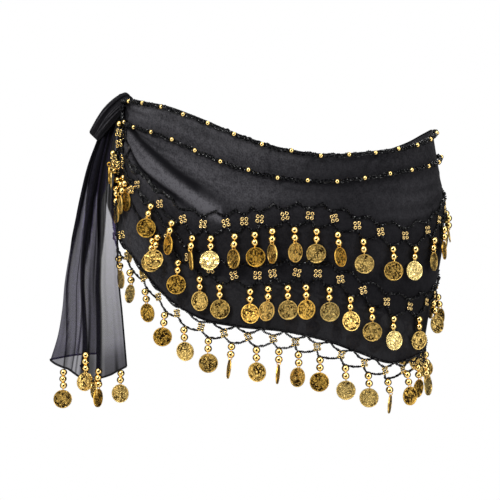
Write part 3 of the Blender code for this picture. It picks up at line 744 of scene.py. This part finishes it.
inner_x, inner_z = read(LOOP_EDGES, along, 3), read(LOOP_EDGES, along, 4)
thick = read(LOOP_EDGES, along, 6) * np.sign(np.sin(turn)) * np.abs(np.sin(turn)) ** 0.6
crumple, loop_shadow = np.zeros((ALONG, ROUND)), np.zeros((ALONG, ROUND))
for place, cut_in, width in LOOP_CREASES:
    drift = place + 0.16 * np.sin(3.0 * along + place * 5)
    near = np.exp(-((side - drift) / width) ** 2) * np.sin(np.pi * np.clip(along * 0.92 + 0.04, 0, 1)) ** 0.5
    crumple += cut_in * near
    loop_shadow = np.maximum(loop_shadow, near)
loop_y = read(LOOP_EDGES, along, 5) + thick - np.sign(thick) * crumple
loop_x = (outer_x + inner_x) / 2 + (outer_x - inner_x) / 2 * side
loop_z = (outer_z + inner_z) / 2 + (outer_z - inner_z) / 2 * side
# Painted light and shade: bright highlight streaks along the bow, fading towards both ends, and painted shadow in
# its creases, which also raises cover.
loop_highlight = np.zeros((ALONG, ROUND))
for place, width, slant, bright in LOOP_HIGHLIGHTS:
    loop_highlight = np.maximum(loop_highlight, bright * np.exp(-((side - place + slant * along) / width) ** 2))
loop_pale = np.clip(0.14 + loop_highlight * np.sin(np.pi * np.clip(along * 1.1 - 0.1, 0, 1)), 0, 1.6)
loop_cover = np.clip(0.35 + 0.65 * loop_shadow, 0, 1)
loop = sheet("tie_loop_cloth", np.stack([loop_x, loop_y, loop_z], axis=-1), KNOT_CLOTH, loop_cover, loop_pale)
fresh()
loop.select_set(True)
bpy.ops.object.mode_set(mode="EDIT")
bpy.ops.mesh.select_all(action="SELECT")
bpy.ops.mesh.remove_doubles(threshold=0.00001)
bpy.ops.mesh.normals_make_consistent(inside=False)
bpy.ops.object.mode_set(mode="OBJECT")
walled(loop)
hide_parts("tie_loop")

# %% [markdown]
# ## Models of one bead, one flower and one coin
# Each small part is modelled once, at the origin, and copied by the thousand, so a seed bead has only a few
# dozen faces. Copies are joined into one mesh per row with arrays, which is much faster than an object each.

# %% Model the small parts once
SEED_ACROSS, SEED_PITCH = 2.1, 1.8
DROP_BEAD, PETAL_BEAD, ROPE_BEAD = 8.0, 3.9, 5.0
COIN_ACROSS, COIN_THICK = 19.8, 1.2


def kept(name):
    """Takes the mesh of the active object as a model and removes the object."""
    made = bpy.context.active_object
    mesh = made.data
    bpy.data.objects.remove(made)
    mesh.name = name
    mesh.calc_loop_triangles()
    print("%s: %d triangles" % (name, len(mesh.loop_triangles)))
    return mesh


def ball_model(name, across, segments, rings, squash=1.0, cut=False):
    """A bead, from a sphere. A cut bead keeps its facets."""
    fresh()
    bpy.ops.mesh.primitive_uv_sphere_add(segments=segments, ring_count=rings, radius=across / 2 * MM,
                                         scale=(1, 1, squash))
    bpy.ops.object.transform_apply(location=True, rotation=True, scale=True)
    if not cut:
        bpy.ops.object.shade_smooth()
    return kept(name)


seed_model = ball_model("seed bead", SEED_ACROSS, 6, 4, 0.85, cut=True)
drop_model = ball_model("drop bead", DROP_BEAD, 14, 9, 0.94)
rope_bead_model = ball_model("rope bead", ROPE_BEAD, 12, 8)

fresh()
bpy.ops.mesh.primitive_cylinder_add(vertices=28, radius=COIN_ACROSS / 2 * MM, depth=COIN_THICK * MM,
                                    rotation=(math.pi / 2, 0, 0))
bpy.ops.object.transform_apply(location=True, rotation=True, scale=True)
coin = bpy.context.active_object
bpy.ops.object.mode_set(mode="EDIT")
bpy.ops.mesh.select_mode(type="FACE")
bpy.ops.mesh.select_all(action="DESELECT")
bpy.ops.object.mode_set(mode="OBJECT")
for face in coin.data.polygons:
    face.select = abs(face.normal.y) > 0.9
bpy.ops.object.mode_set(mode="EDIT")
bpy.ops.mesh.inset(thickness=1.1 * MM, depth=0, use_individual=True)
bpy.ops.mesh.inset(thickness=0.3 * MM, depth=-0.28 * MM, use_individual=True)
bpy.ops.mesh.inset(thickness=5.0 * MM, depth=0.16 * MM, use_individual=True)
bpy.ops.object.mode_set(mode="OBJECT")
bpy.ops.mesh.primitive_torus_add(major_radius=1.9 * MM, minor_radius=0.5 * MM, major_segments=10, minor_segments=5,
                                 location=(0, 0, (COIN_ACROSS / 2 + 1.3) * MM), rotation=(0, math.pi / 2, 0))
bail = bpy.context.active_object
bpy.ops.object.transform_apply(location=True, rotation=True, scale=True)
fresh()
bail.select_set(True)
coin.select_set(True)
bpy.context.view_layer.objects.active = coin
bpy.ops.object.join()
bpy.ops.object.shade_smooth_by_angle(angle=math.radians(28))
coin.data.uv_layers[0].name = "face"
for corner in coin.data.loops:
    x, _, z = coin.data.vertices[corner.vertex_index].co
    coin.data.uv_layers["face"].data[corner.index].uv = (x / COIN_ACROSS / MM + 0.5, z / COIN_ACROSS / MM + 0.5)
coin_model = kept("coin")


# %% Place copies of a model
def copies(name, model, places, turns, finish, antique=None):
    """One mesh with a copy of the model at each place (millimetres), turned by each 3 x 3 matrix. antique says how
    dark the hollows of each copy are, from 0 to 1."""
    places, turns = np.asarray(places, dtype=float), np.asarray(turns, dtype=float)
    count, size = len(places), len(model.vertices)
    points = np.empty(size * 3)
    model.vertices.foreach_get("co", points)
    points = np.einsum("nij,vj->nvi", turns, points.reshape(-1, 3)) + places[:, None, :] * MM
    loop_vertex = np.empty(len(model.loops), dtype=np.int64)
    model.loops.foreach_get("vertex_index", loop_vertex)
    starts = np.empty(len(model.polygons), dtype=np.int64)
    model.polygons.foreach_get("loop_start", starts)
    smooth = np.empty(len(model.polygons), dtype=bool)
    model.polygons.foreach_get("use_smooth", smooth)
    uv = np.empty(len(model.loops) * 2, dtype=np.float32)
    model.uv_layers[0].data.foreach_get("uv", uv)
    mesh = bpy.data.meshes.new(name)
    mesh.vertices.add(count * size)
    mesh.vertices.foreach_set("co", points.ravel())
    mesh.loops.add(count * len(loop_vertex))
    shift = np.arange(count)[:, None]
    mesh.loops.foreach_set("vertex_index", (loop_vertex[None] + shift * size).ravel().astype(np.int32))
    mesh.polygons.add(count * len(starts))
    mesh.polygons.foreach_set("loop_start", (starts[None] + shift * len(loop_vertex)).ravel().astype(np.int32))
    mesh.polygons.foreach_set("use_smooth", np.tile(smooth, count))
    mesh.uv_layers.new(name=model.uv_layers[0].name).data.foreach_set("uv", np.tile(uv, count))
    mesh.materials.append(finish)
    mesh.update(calc_edges=True)
    mesh.validate()
    if antique is not None:
        mesh.attributes.new("antique", "FLOAT", "POINT").data.foreach_set(
            "value", np.repeat(antique, size).astype(np.float32))
    sharp = model.attributes.get("sharp_edge")
    if sharp is not None:
        smooth_by_angle(mesh)
    made = bpy.data.objects.new(name, mesh)
    bpy.context.scene.collection.objects.link(made)
    return made


def smooth_by_angle(mesh):
    """Keeps the edges of a coin's rim crisp on every copy."""
    mesh.set_sharp_from_angle(angle=math.radians(28))


def spaced(points, pitch):
    """Places every pitch along a line of points, and the line's direction at each."""
    points = np.asarray(points, dtype=float)
    run = np.concatenate([[0], np.cumsum(np.linalg.norm(np.diff(points, axis=0), axis=1))])
    count = max(int(round(run[-1] / pitch)), 1)
    at = (np.arange(count) + 0.5) * run[-1] / count

    def place(distance):
        return np.stack([np.interp(distance, run, points[:, axis]) for axis in range(3)], axis=1)

    ahead = place(np.minimum(at + pitch / 2, run[-1])) - place(np.maximum(at - pitch / 2, 0))
    return place(at), ahead / np.linalg.norm(ahead, axis=1, keepdims=True), at


def threaded(directions):
    """Turns that set a bead's hole along each direction."""
    directions = np.asarray(directions, dtype=float)
    helper = np.where(np.abs(directions[:, 2:3]) < 0.9, (0, 0, 1.0), (1.0, 0, 0))
    side = np.cross(helper, directions)
    side /= np.linalg.norm(side, axis=1, keepdims=True)
    return np.stack([side, np.cross(directions, side), directions], axis=2)


def outward(turn, height):
    """The level direction away from the hips at a turn and height."""
    return hip_point(turn, height, 1.0) - hip_point(turn, height, 0.0)


print("copy helpers ready")

# %% [markdown]
# ## The bead ropes
# Each rope is a few strings of seed beads twisted together, with a gold bead threaded every 31 mm. The strings
# are helices round the sewn line, so the twist shows as it does on the real rope.

# %% Twist the ropes
STRINGS, TWIST_LENGTH, STRING_OUT = 3, 15.0, 1.55
GOLD_EVERY = 31.0
ROPE_LIFT = 3.6


def rope(name, node, line_of, first_gold):
    """A twisted rope of seed beads on a line round the hips, with its gold beads."""
    turn = np.linspace(FIRST_TURN, LAST_TURN, 900)
    height = line_of(turn)
    points = wrap_point(turn, height, ROPE_LIFT)
    wobble = 0.5 * np.sin(turn * 0.9) + 0.35 * np.sin(turn * 2.3 + 1)
    points[:, 2] += wobble
    run = np.concatenate([[0], np.cumsum(np.linalg.norm(np.diff(points, axis=0), axis=1))])
    out = outward(turn, height)
    ahead = np.gradient(points, axis=0)
    ahead /= np.linalg.norm(ahead, axis=1, keepdims=True)
    rise = np.cross(ahead, out)
    places, turns = [], []
    for string in range(STRINGS):
        angle = 2 * np.pi * (run / TWIST_LENGTH + string / STRINGS)
        loose = STRING_OUT * (1 + 0.35 * np.sin(run * 0.31 + string * 2.1) * np.sin(run * 0.057 + string))
        helix = points + loose[:, None] * (np.cos(angle)[:, None] * out + np.sin(angle)[:, None] * rise)
        at, along_it, _ = spaced(helix, SEED_PITCH)
        places.append(at)
        turns.append(threaded(along_it))
    seeds = copies(name + "_seeds", seed_model, np.concatenate(places), np.concatenate(turns), SEED_GLASS)
    gold_at = np.arange(first_gold, run[-1], GOLD_EVERY)
    gold = np.stack([np.interp(gold_at, run, points[:, axis]) for axis in range(3)], axis=1)
    lift = np.stack([np.interp(gold_at, run, out[:, axis]) for axis in range(3)], axis=1)
    gold_beads = copies(name + "_gold", rope_bead_model, gold + lift * 1.2, np.tile(np.eye(3), (len(gold), 1, 1)),
                        BEAD_GOLD)
    for piece in (seeds, gold_beads):
        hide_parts(node)
    print("%s: %.0f mm, %d seed beads, %d gold beads" % (name, run[-1], len(seeds.data.vertices) // 20, len(gold)))
    return seeds, gold_beads


waist_rope = rope("waist_rope", "waist_rope", lambda turn: read(SECTIONS, turn, WAIST) - 1.5, 29.5)
second_rope = rope("second_rope", "second_rope", lambda turn: read(SECTIONS, turn, ROPE), 28.5)

# %% [markdown]
# ## The coin rows
# A row is a net of seed beads. Its upper string swags from stitch to stitch, with a flower of four gold rings at
# the bottom of every swag. Two more strings leave each flower and meet its neighbours' strings in a V, and a
# drop of two gold beads and a coin hangs from each V. The same net is sewn on the cloth twice, and once more
# along the hem, where it hangs free.

# %% Model the flower
fresh()
petals = []
PETAL_OUT = 2.2
for x, z in ((1, 1), (1, -1), (-1, 1), (-1, -1)):
    bpy.ops.mesh.primitive_torus_add(major_radius=PETAL_BEAD * 0.385 * MM, minor_radius=PETAL_BEAD * 0.13 * MM,
                                     major_segments=9, minor_segments=6, rotation=(math.pi / 2, 0, 0),
                                     location=(x * PETAL_OUT * MM, 0, z * PETAL_OUT * MM))
    petals.append(bpy.context.active_object)
flower = join("flower", petals)
bpy.ops.object.transform_apply(location=True, rotation=True, scale=True)
bpy.ops.object.shade_smooth()
flower_model = kept("flower")


# %% Knot a net and hang its drops
SWAG_TWIST, SWAG_OUT = 7.0, 1.0
NET_LIFT = 1.7
V_DROP, V_SHARE = 11.5, 0.42
BEAD_STEPS, PIVOT_STEP = (3.6, 11.2), 14.0
COIN_HANGS = COIN_ACROSS / 2 + 1.9
# How a coin that flashes is turned and tilted, to mirror the light of that name; it also gets no antiquing, a
# painted highlight that makes it the brightest copy of the gold.
MIRRORS = {"key": (-12, -10), "fill": (29, -3)}
# The strings of the net below the hem lie closer together.
FREE_NET = {"twist": 13.0, "out_by": 0.55, "rings": BEAD_GOLD}
BACKED_AT = ((0, 0), (1, 1), (1, -1), (-1, 1), (-1, -1), (1, 0), (-1, 0), (0, 1), (0, -1))
COIN_CLEAR = 4.4        # the coins of one row hang in front of the strings of the next


def string_of(points, strings, out_by, twist):
    """Places and turns of the seed beads of a few strings twisted round a line of points."""
    points = np.asarray(points, dtype=float)
    run = np.concatenate([[0], np.cumsum(np.linalg.norm(np.diff(points, axis=0), axis=1))])
    ahead = np.gradient(points, axis=0)
    ahead /= np.maximum(np.linalg.norm(ahead, axis=1, keepdims=True), 1e-9)
    out = np.column_stack([points[:, 0], points[:, 1], np.zeros(len(points))])
    out /= np.linalg.norm(out, axis=1, keepdims=True)
    rise = np.cross(ahead, out)
    places, turns = [], []
    start = random.uniform(0, 6)
    for string in range(strings):
        angle = 2 * np.pi * (run / twist + string / strings) + start
        loose = out_by * (0.9 + 0.75 * np.sin(run * 0.43 + start + 2.4 * string))
        helix = points + loose[:, None] * (np.cos(angle)[:, None] * out + np.sin(angle)[:, None] * rise)
        at, along_it, _ = spaced(helix, SEED_PITCH)
        places.append(at)
        turns.append(threaded(along_it))
    return np.concatenate(places), np.concatenate(turns)


def facing(turn, height):
    """Which way the cloth faces: 0 is -Y, and positive is towards +X."""
    x, y, _ = outward(np.asarray(float(turn)), np.asarray(float(height)))
    return math.atan2(x, -y)


def turned(yaw, roll=0.0, tilt=0.0):
    return np.array(Matrix.Rotation(yaw, 3, "Z") @ Matrix.Rotation(roll, 3, "Y") @ Matrix.Rotation(tilt, 3, "X"))


class Row:
    """Everything threaded on one row, gathered so that each kind becomes one mesh."""

    def __init__(self, twist=SWAG_TWIST, out_by=SWAG_OUT, rings=RING_GOLD):
        self.twist, self.out_by, self.rings = twist, out_by, rings
        self.seeds, self.flowers, self.beads, self.coins = ([], []), ([], []), ([], []), ([], [])
        self.antique = []

    def string(self, points, strings=2, out_by=None):
        places, turns = string_of(points, strings, self.out_by if out_by is None else out_by, self.twist)
        self.seeds[0].extend(places)
        self.seeds[1].extend(turns)

    def flower(self, place, yaw, backed=False):
        """A flower, and the black bead that it is sewn down with. On the open net it has a bead in every ring."""
        turn = turned(yaw, random.uniform(-0.3, 0.3))
        self.flowers[0].append(place)
        self.flowers[1].append(turn)
        for x, z in BACKED_AT if backed else ((0, 0),):
            self.seeds[0].append(place + turn @ np.array([x * PETAL_OUT, 0.3, z * PETAL_OUT]))
            self.seeds[1].append(turn)

    def drop(self, places, pivot, yaw, roll, tilt, antique=None):
        """Gold beads at the given places, and a coin that hangs from a pivot under them."""
        self.beads[0].extend(places)
        self.beads[1].extend([np.eye(3)] * len(places))
        self.coins[0].append(np.asarray(pivot) + turned(yaw, roll, tilt) @ np.array([0, 0, -COIN_HANGS]))
        self.coins[1].append(turned(yaw, roll, tilt))
        self.antique.append(random.uniform(0.25, 1.0) if antique is None else antique)

    def make(self, name, node, slot):
        """Makes one mesh of each kind of part and hangs it in the frame."""
        made = []
        kinds = (("seeds", self.seeds, seed_model, SEED_GLASS), ("flowers", self.flowers, flower_model, self.rings),
                 ("drop_beads", self.beads, drop_model, BEAD_GOLD), ("coins", self.coins, coin_model, COIN_GOLD))
        for kind, (places, turns), model, finish in kinds:
            if places:
                antique = self.antique if kind == "coins" else None
                piece = copies(name + "_" + kind, model, places, turns, finish, antique)
                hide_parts(node)
                made.append(piece)
        print("%s: %d seeds, %d flowers, %d coins" % (name, len(self.seeds[0]), len(self.flowers[0]),
                                                       len(self.coins[0])))
        return made


def net(flowers, line_of, valley, peak_rise, drops, v_drop=V_DROP, first=6.2, last=353.8, hangs_free=False):
    """A row of swags, flowers and drops. drops are the turn of each drop and its coin's angle to the front view
    for the near side, and the light it mirrors or how much higher than usual it hangs. Beyond the near side they
    follow the pitch and chance."""
    row = Row(**(FREE_NET if hangs_free else {}))
    flowers = np.asarray(flowers, dtype=float)
    heights = line_of(flowers)
    middle = (flowers[1:] + flowers[:-1]) / 2
    peaks = np.concatenate([[flowers[0] - 4], middle, [flowers[-1] + 4]])
    crests = line_of(peaks) + peak_rise
    rides_on = np.linspace(0, 1, 14)
    for index, (turn, height) in enumerate(zip(flowers, heights)):
        for side in (0, 1):
            swag_turn = turn + (peaks[index + side] - turn) * rides_on
            # Near the tie the string is pulled straight.
            taut = 1 / (1 + math.exp((min(turn, 360 - turn) - 58) / 5))
            low = valley + 0.75 * taut * (peak_rise - valley)
            swag = height + low + (crests[index + side] - height - low) * rides_on ** 1.8
            row.string(wrap_point(swag_turn, swag, NET_LIFT))
        link = height + np.linspace(3.5, valley, 4)
        row.string(wrap_point(np.full(4, turn), link, NET_LIFT), strings=1, out_by=0)
        row.flower(wrap_point(turn, height, 2.4), facing(turn, height), backed=hangs_free)
    for start, end in ((first, peaks[0]), (peaks[-1], last)):
        lead = np.linspace(start, end, 24)
        row.string(wrap_point(lead, line_of(lead) + peak_rise, NET_LIFT))
    for index in range(len(flowers) - 1):
        v_turn = flowers[index] + (flowers[index + 1] - flowers[index]) * V_SHARE
        if index < len(drops):
            v_turn = drops[index][0]
        how = drops[index][2] if index < len(drops) and len(drops[index]) > 2 else None
        higher = 0.0 if how is None or how in MIRRORS else how
        v_height = float(line_of(v_turn)) - v_drop + random.uniform(-1.0, 0.6) + higher
        bottom = wrap_point(v_turn, v_height, NET_LIFT)
        for end in (index, index + 1):
            leg_turn = flowers[end] + (v_turn - flowers[end]) * rides_on
            leg = heights[end] - 3.0 + (v_height - heights[end] + 3.0) * rides_on
            sag = -1.6 * np.sin(np.pi * rides_on)
            row.string(wrap_point(leg_turn, leg + sag, NET_LIFT))
        cloth_faces = facing(v_turn, v_height)
        if index < len(drops):
            yaw = math.radians(drops[index][1])
            yaw = math.copysign(yaw, cloth_faces if abs(cloth_faces) > 0.15 else (-1) ** index)
        else:
            yaw = cloth_faces + random.choice((0.05, -0.1, 0.3, -0.4, 0.7, -0.9, 1.2))
        out = outward(np.asarray(v_turn), np.asarray(v_height))
        clear = COIN_CLEAR + 0.8 * COIN_ACROSS / 2 * abs(math.sin(yaw - cloth_faces))
        clear = clear + 0.5 * min(max(0.0, higher), 5.0)

        def hang(step, need):
            place = bottom - (0, 0, step)
            surface = wrap_point(np.asarray(v_turn), np.asarray(v_height - step), need)
            return place + out * max(0.0, float(np.dot(surface - place, out)))

        beads = [hang(step, max(DROP_BEAD / 2 + 0.6, clear * share))
                 for step, share in zip(BEAD_STEPS, (0.5, 0.8))]
        roll, tilt = random.uniform(-0.10, 0.10), random.uniform(-0.16, 0.16)
        if how in MIRRORS:
            yaw, tilt = (math.radians(angle) for angle in MIRRORS[how])
            # Painted highlight: the coin that mirrors a light gets no antiquing, so it is the brightest copy of the
            # gold.
            row.drop(beads, hang(PIVOT_STEP, clear), yaw, roll, tilt, antique=0.0)
        else:
            row.drop(beads, hang(PIVOT_STEP, clear), yaw, roll, tilt)
    return row


FAR_PITCH = 9.0
FAR_TURNS = np.arange(179 + FAR_PITCH, 342, FAR_PITCH)
UPPER_FLOWERS = (12, 33.5, 46.5, 56.5, 64, 72, 78, 83, 91, 99, 107, 115, 124, 135, 148, 158, 168, 179)
MIDDLE_FLOWERS = (15, 28, 41, 50, 58, 66, 74, 82, 87, 95, 102, 110, 119, 130, 143.5, 157, 168, 179)
HEM_FLOWERS = (15, 25.5, 35, 42, 50, 60, 69, 78, 87, 95, 103, 112.5, 122.5, 133, 144, 153, 162, 171, 179)
UPPER_DROPS = ((26, 75, 6), (43.3, 5, 8), (52.7, 63, 6), (60.5, 78), (67, 5, "key"), (75, 53), (81.5, 8),
               (87, 63), (94, 45), (101, 0), (108, 53), (117, 0), (129, 5), (140, 41, "fill"), (152, 63), (162, 70), (173, 78), (183.5, 84))
MIDDLE_DROPS = ((20, 70), (43.6, 10, -5), (46.3, 12, 5), (54.2, 5), (62, 32), (69, 5), (79.5, 25),
                (85.5, 41), (92, 0), (98, 32), (106, 0), (114, 25), (123, 0), (134, 41, "fill"), (150.5, 32),
                (163, 40, 9), (174, 55, 6), (183.5, 60))
HEM_DROPS = ((20, 65), (28, 57), (36, 41), (44.5, 5), (53, 25), (63, 0), (72, 80), (81, 25), (89, 80), (96, 45),
             (104, 0), (114, 0), (124, 0), (134, 75), (146, 37, 7), (155, 53, 9), (166.5, 60, 4),
             (175, 70), (183.5, 78))

upper_row = net(UPPER_FLOWERS + tuple(FAR_TURNS), lambda turn: read(SECTIONS, turn, UPPER), 7.5, 13.5,
                UPPER_DROPS)
taut = np.linspace(7, 52, 90)
upper_row.string(wrap_point(taut, read(SECTIONS, taut, UPPER) + 13.0, NET_LIFT + 0.6), strings=3, out_by=1.2)
upper_pieces = upper_row.make("upper_row", "coin_row_upper", "gold_coins")
middle_row = net(MIDDLE_FLOWERS + tuple(FAR_TURNS), lambda turn: read(SECTIONS, turn, MIDDLE), 7.5, 13.0,
                 MIDDLE_DROPS)
middle_pieces = middle_row.make("middle_row", "coin_row_middle", "gold_coins")
hem_turns = np.linspace(9, 351, 700)
hem_row = net(HEM_FLOWERS + tuple(FAR_TURNS), lambda turn: read(SECTIONS, turn, HEM) - 8.7, 3.6, 9.0, HEM_DROPS,
              v_drop=8.6, hangs_free=True)
hem_row.string(wrap_point(hem_turns, read(SECTIONS, hem_turns, HEM) + 0.6, NET_LIFT))

# %% [markdown]
# ## Trims that bunch at the tie
# The hem comes up to the tie with the rest of the cloth, so its flowers and drops crowd together there and
# hang one over another. They are placed one by one.

# %% The bunch beside the tie
BUNCH_FLOWERS = (  # x, y, z, which way it faces in degrees
    (-173.5, -32, 16.5, -30), (-173.0, -34, 4.8, -25), (-166.0, -42, -11.6, -10), (-178.0, -38, -12, -30),
    (-176.2, -46, -19.6, -20), (-170.0, -46, -19.0, 0), (-168.6, -54, -93.8, -20),
)
BUNCH_BEADS = (  # x, y, z
    (-179.6, -30, -5.9), (-177.4, -42, -25.6), (-167.2, -44, -33.0), (-173.5, -46, -35.8), (-169.6, -48, -40.6),
    (-174.4, -50, -45.4), (-173.2, -24, 26.5),
)
BUNCH_COINS = (  # x, y, z of the pivot, yaw, roll, tilt in degrees
    (-182.0, -50, -18, -86, 14, 0), (-179.5, -54, -24, -84, 8, 0),
    (-163.2, -61, -47.4, -62, -5, 0),
)
BUNCH_STRINGS = (  # lines of x, y, z
    ((-171, -18, 30), (-173.5, -24, 16.5), (-173, -26, 4.8), (-179, -30, -10), (-177.2, -40, -22),
     (-175, -46, -40)),
    ((-170, -20, 28), (-170, -26, 10), (-166.5, -34, -11), (-168, -42, -30), (-171, -47, -45), (-176, -49, -68)),
    ((-169, -20, 30), (-163, -34, 4), (-160, -52, -28), (-158, -58, -38)),
    ((-174.5, -52, -58), (-174, -53, -80), (-173.3, -53, -104), (-172.5, -52, -126)),
)
hem_row.flower(wrap_point(30.8, -46.4, 3.2), facing(30.8, -46.4))
for x, y, z, faces in BUNCH_FLOWERS:
    hem_row.flower(np.array([x, y, z], dtype=float), math.radians(faces))
hem_row.beads[0].extend(np.array(place, dtype=float) for place in BUNCH_BEADS)
hem_row.beads[1].extend([np.eye(3)] * len(BUNCH_BEADS))
for x, y, z, yaw, roll, tilt in BUNCH_COINS:
    hem_row.drop([], (x, y, z), *(math.radians(a) for a in (yaw, roll, tilt)))
for line in BUNCH_STRINGS:
    line = np.array(line, dtype=float)
    fine = np.linspace(0, len(line) - 1, 10 * len(line))
    hem_row.string(np.stack([np.interp(fine, np.arange(len(line)), line[:, a]) for a in range(3)], axis=1))
hem_pieces = hem_row.make("hem_fringe", "hem_fringe", "gold_coins")

# %% [markdown]
# ## Drops on the tail's end
# The cloth's end carries the same drops, one at each corner and one on each pleat, with three beads above most
# of the coins. Each hangs from its own point of the hem.

# %% Hang the tail's drops
TAIL_DROPS = (  # node, share across, depth on the path, top, beads, yaw in degrees
    ("tail_drop_left", 0.182, -0.6, -238.2, 3, 12), ("tail_drop_pleat", 0.481, -8.5, -219.0, 3, 38),
    ("tail_drop_middle", 0.643, -6.0, -236.5, 3, 68), ("tail_drop_right", 0.926, -1.5, -239.2, 2, -20),
)
BEAD_PITCH = 7.0
tail_pieces = []
for node, share_across, drop_depth, top, count, yaw in TAIL_DROPS:
    left, right = read(TAIL_SECTIONS, TAIL_HEM, 1), read(TAIL_SECTIONS, TAIL_HEM, 2)
    x = float(left + (right - left) * share_across)
    y = float(read(TAIL_SECTIONS, TAIL_HEM, 3)) + drop_depth
    row = Row()
    beads = [np.array([x + 0.3 * (-1) ** i, y, top - 3.2 - BEAD_PITCH * i]) for i in range(count)]
    pivot = np.array([x, y, top - 3.2 - BEAD_PITCH * (count - 1) - 2.9])
    row.drop(beads, pivot, math.radians(yaw), 0.05, 0.0)
    if node == "tail_drop_middle":
        row.drop([], pivot + (-5.5, 3.0, 9.0), math.radians(-64), -0.05, 0.0)
    tail_pieces += row.make(node, node, "gold_coins")

# %% [markdown]
# ## Pieces on the frame
# Every piece made above is attached to the frame's root.

pieces = [hip_wrap, wrap_edges, tail_cloth, tail_edges, knot, loop, *waist_rope, *second_rope, *upper_pieces,
          *middle_pieces, *hem_pieces, *tail_pieces]
for piece in pieces:
    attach(piece, "root")
print("pieces:", len(pieces))

# %% [markdown]
# ## Stage, camera and light
# Soft boxes in front, to both sides and behind. The world answers each kind of ray with its own picture. Rays
# straight from the camera see plain white, and cloth is lit by a soft grey room. Only reflections see a studio of
# bright panels in black, so that gold has something bright and something dark to mirror, and the floor and the
# front light are hidden from them. The camera is a long lens on the level of the hips.

# %% Floor, world, lights and camera
fresh()
bpy.ops.mesh.primitive_plane_add(size=5.0, location=(0, 0, -0.9))
floor = bpy.context.active_object
bpy.ops.object.transform_apply(location=True)
floor.name = "studio_floor"
FLOOR_PAINT, _, _ = material("pale studio floor", Base_Color=(0.86, 0.86, 0.86, 1.0), Roughness=0.9)
floor.data.materials.append(FLOOR_PAINT)
floor.visible_glossy = False

world = bpy.data.worlds.new("studio")
bpy.context.scene.world = world
world.use_nodes = True
sky = Wire(world.node_tree)
for node in list(world.node_tree.nodes):
    world.node_tree.nodes.remove(node)
seen = sky.add("ShaderNodeLightPath", {})
way = sky.add("ShaderNodeSeparateXYZ", {}, sky.add("ShaderNodeTexCoord", {}), out=2)
room = way.step(-0.25, 0.9).blend((0.03, 0.03, 0.032, 1.0), (0.62, 0.62, 0.64, 1.0))
compass = way.socket.node
to_front = 0.0 - Wire(way.tree, compass.outputs[1])
from_above = way.step(0.56, 0.88) * to_front.step(-0.40, 0.20) * 2.4
from_sides = (1.0 - to_front.step(0.54, 0.88)) * to_front.step(-0.05, 0.22) * 1.25
from_floor = (0.0 - way).step(0.50, 0.85) * to_front.step(-0.50, 0.20) * 0.55
mirrored = (from_above.math("MAXIMUM", from_sides).math("MAXIMUM", from_floor) + 0.04).blend(
    (0.0, 0.0, 0.0, 1.0), (1.0, 1.0, 1.0, 1.0), clamp=False)
glossy = Wire(seen.tree, seen.socket.node.outputs["Is Glossy Ray"])
backdrop = seen.blend(glossy.blend(room, mirrored), (1.0, 1.0, 1.0, 1.0))
shine = sky.add("ShaderNodeBackground", {}, backdrop, 1.0)
output = world.node_tree.nodes.new("ShaderNodeOutputWorld")
world.node_tree.links.new(shine.socket, output.inputs["Surface"])


def soft_box(name, place, aim, size, power):
    """An area light that faces a point."""
    fresh()
    bpy.ops.object.light_add(type="AREA", location=place)
    lamp = bpy.context.active_object
    lamp.name = name
    lamp.rotation_euler = (Vector(aim) - Vector(place)).to_track_quat("-Z", "Y").to_euler()
    lamp.data.shape, lamp.data.size, lamp.data.size_y, lamp.data.energy = "RECTANGLE", size[0], size[1], power
    return lamp


MIDDLE = (0, 0, -0.1)
soft_box("key_light", (-1.1, -2.0, 1.3), MIDDLE, (0.7, 0.7), 34)
soft_box("front_light", (0.1, -3.0, 0.0), MIDDLE, (1.3, 0.9), 6).visible_glossy = False
soft_box("fill_light", (1.9, -1.5, 0.2), MIDDLE, (0.35, 1.4), 12)
soft_box("back_light", (0.6, 2.0, 1.4), MIDDLE, (1.2, 0.5), 12)

fresh()
bpy.ops.object.camera_add(location=(-0.0319, -1.53, -0.110), rotation=(math.pi / 2, 0, 0))
camera = bpy.context.active_object
camera.name = "product_camera"
camera.data.lens, camera.data.sensor_width = 100.0, 36.0
bpy.context.scene.camera = camera
bpy.context.scene.view_settings.view_transform = "Standard"
print("stage ready")
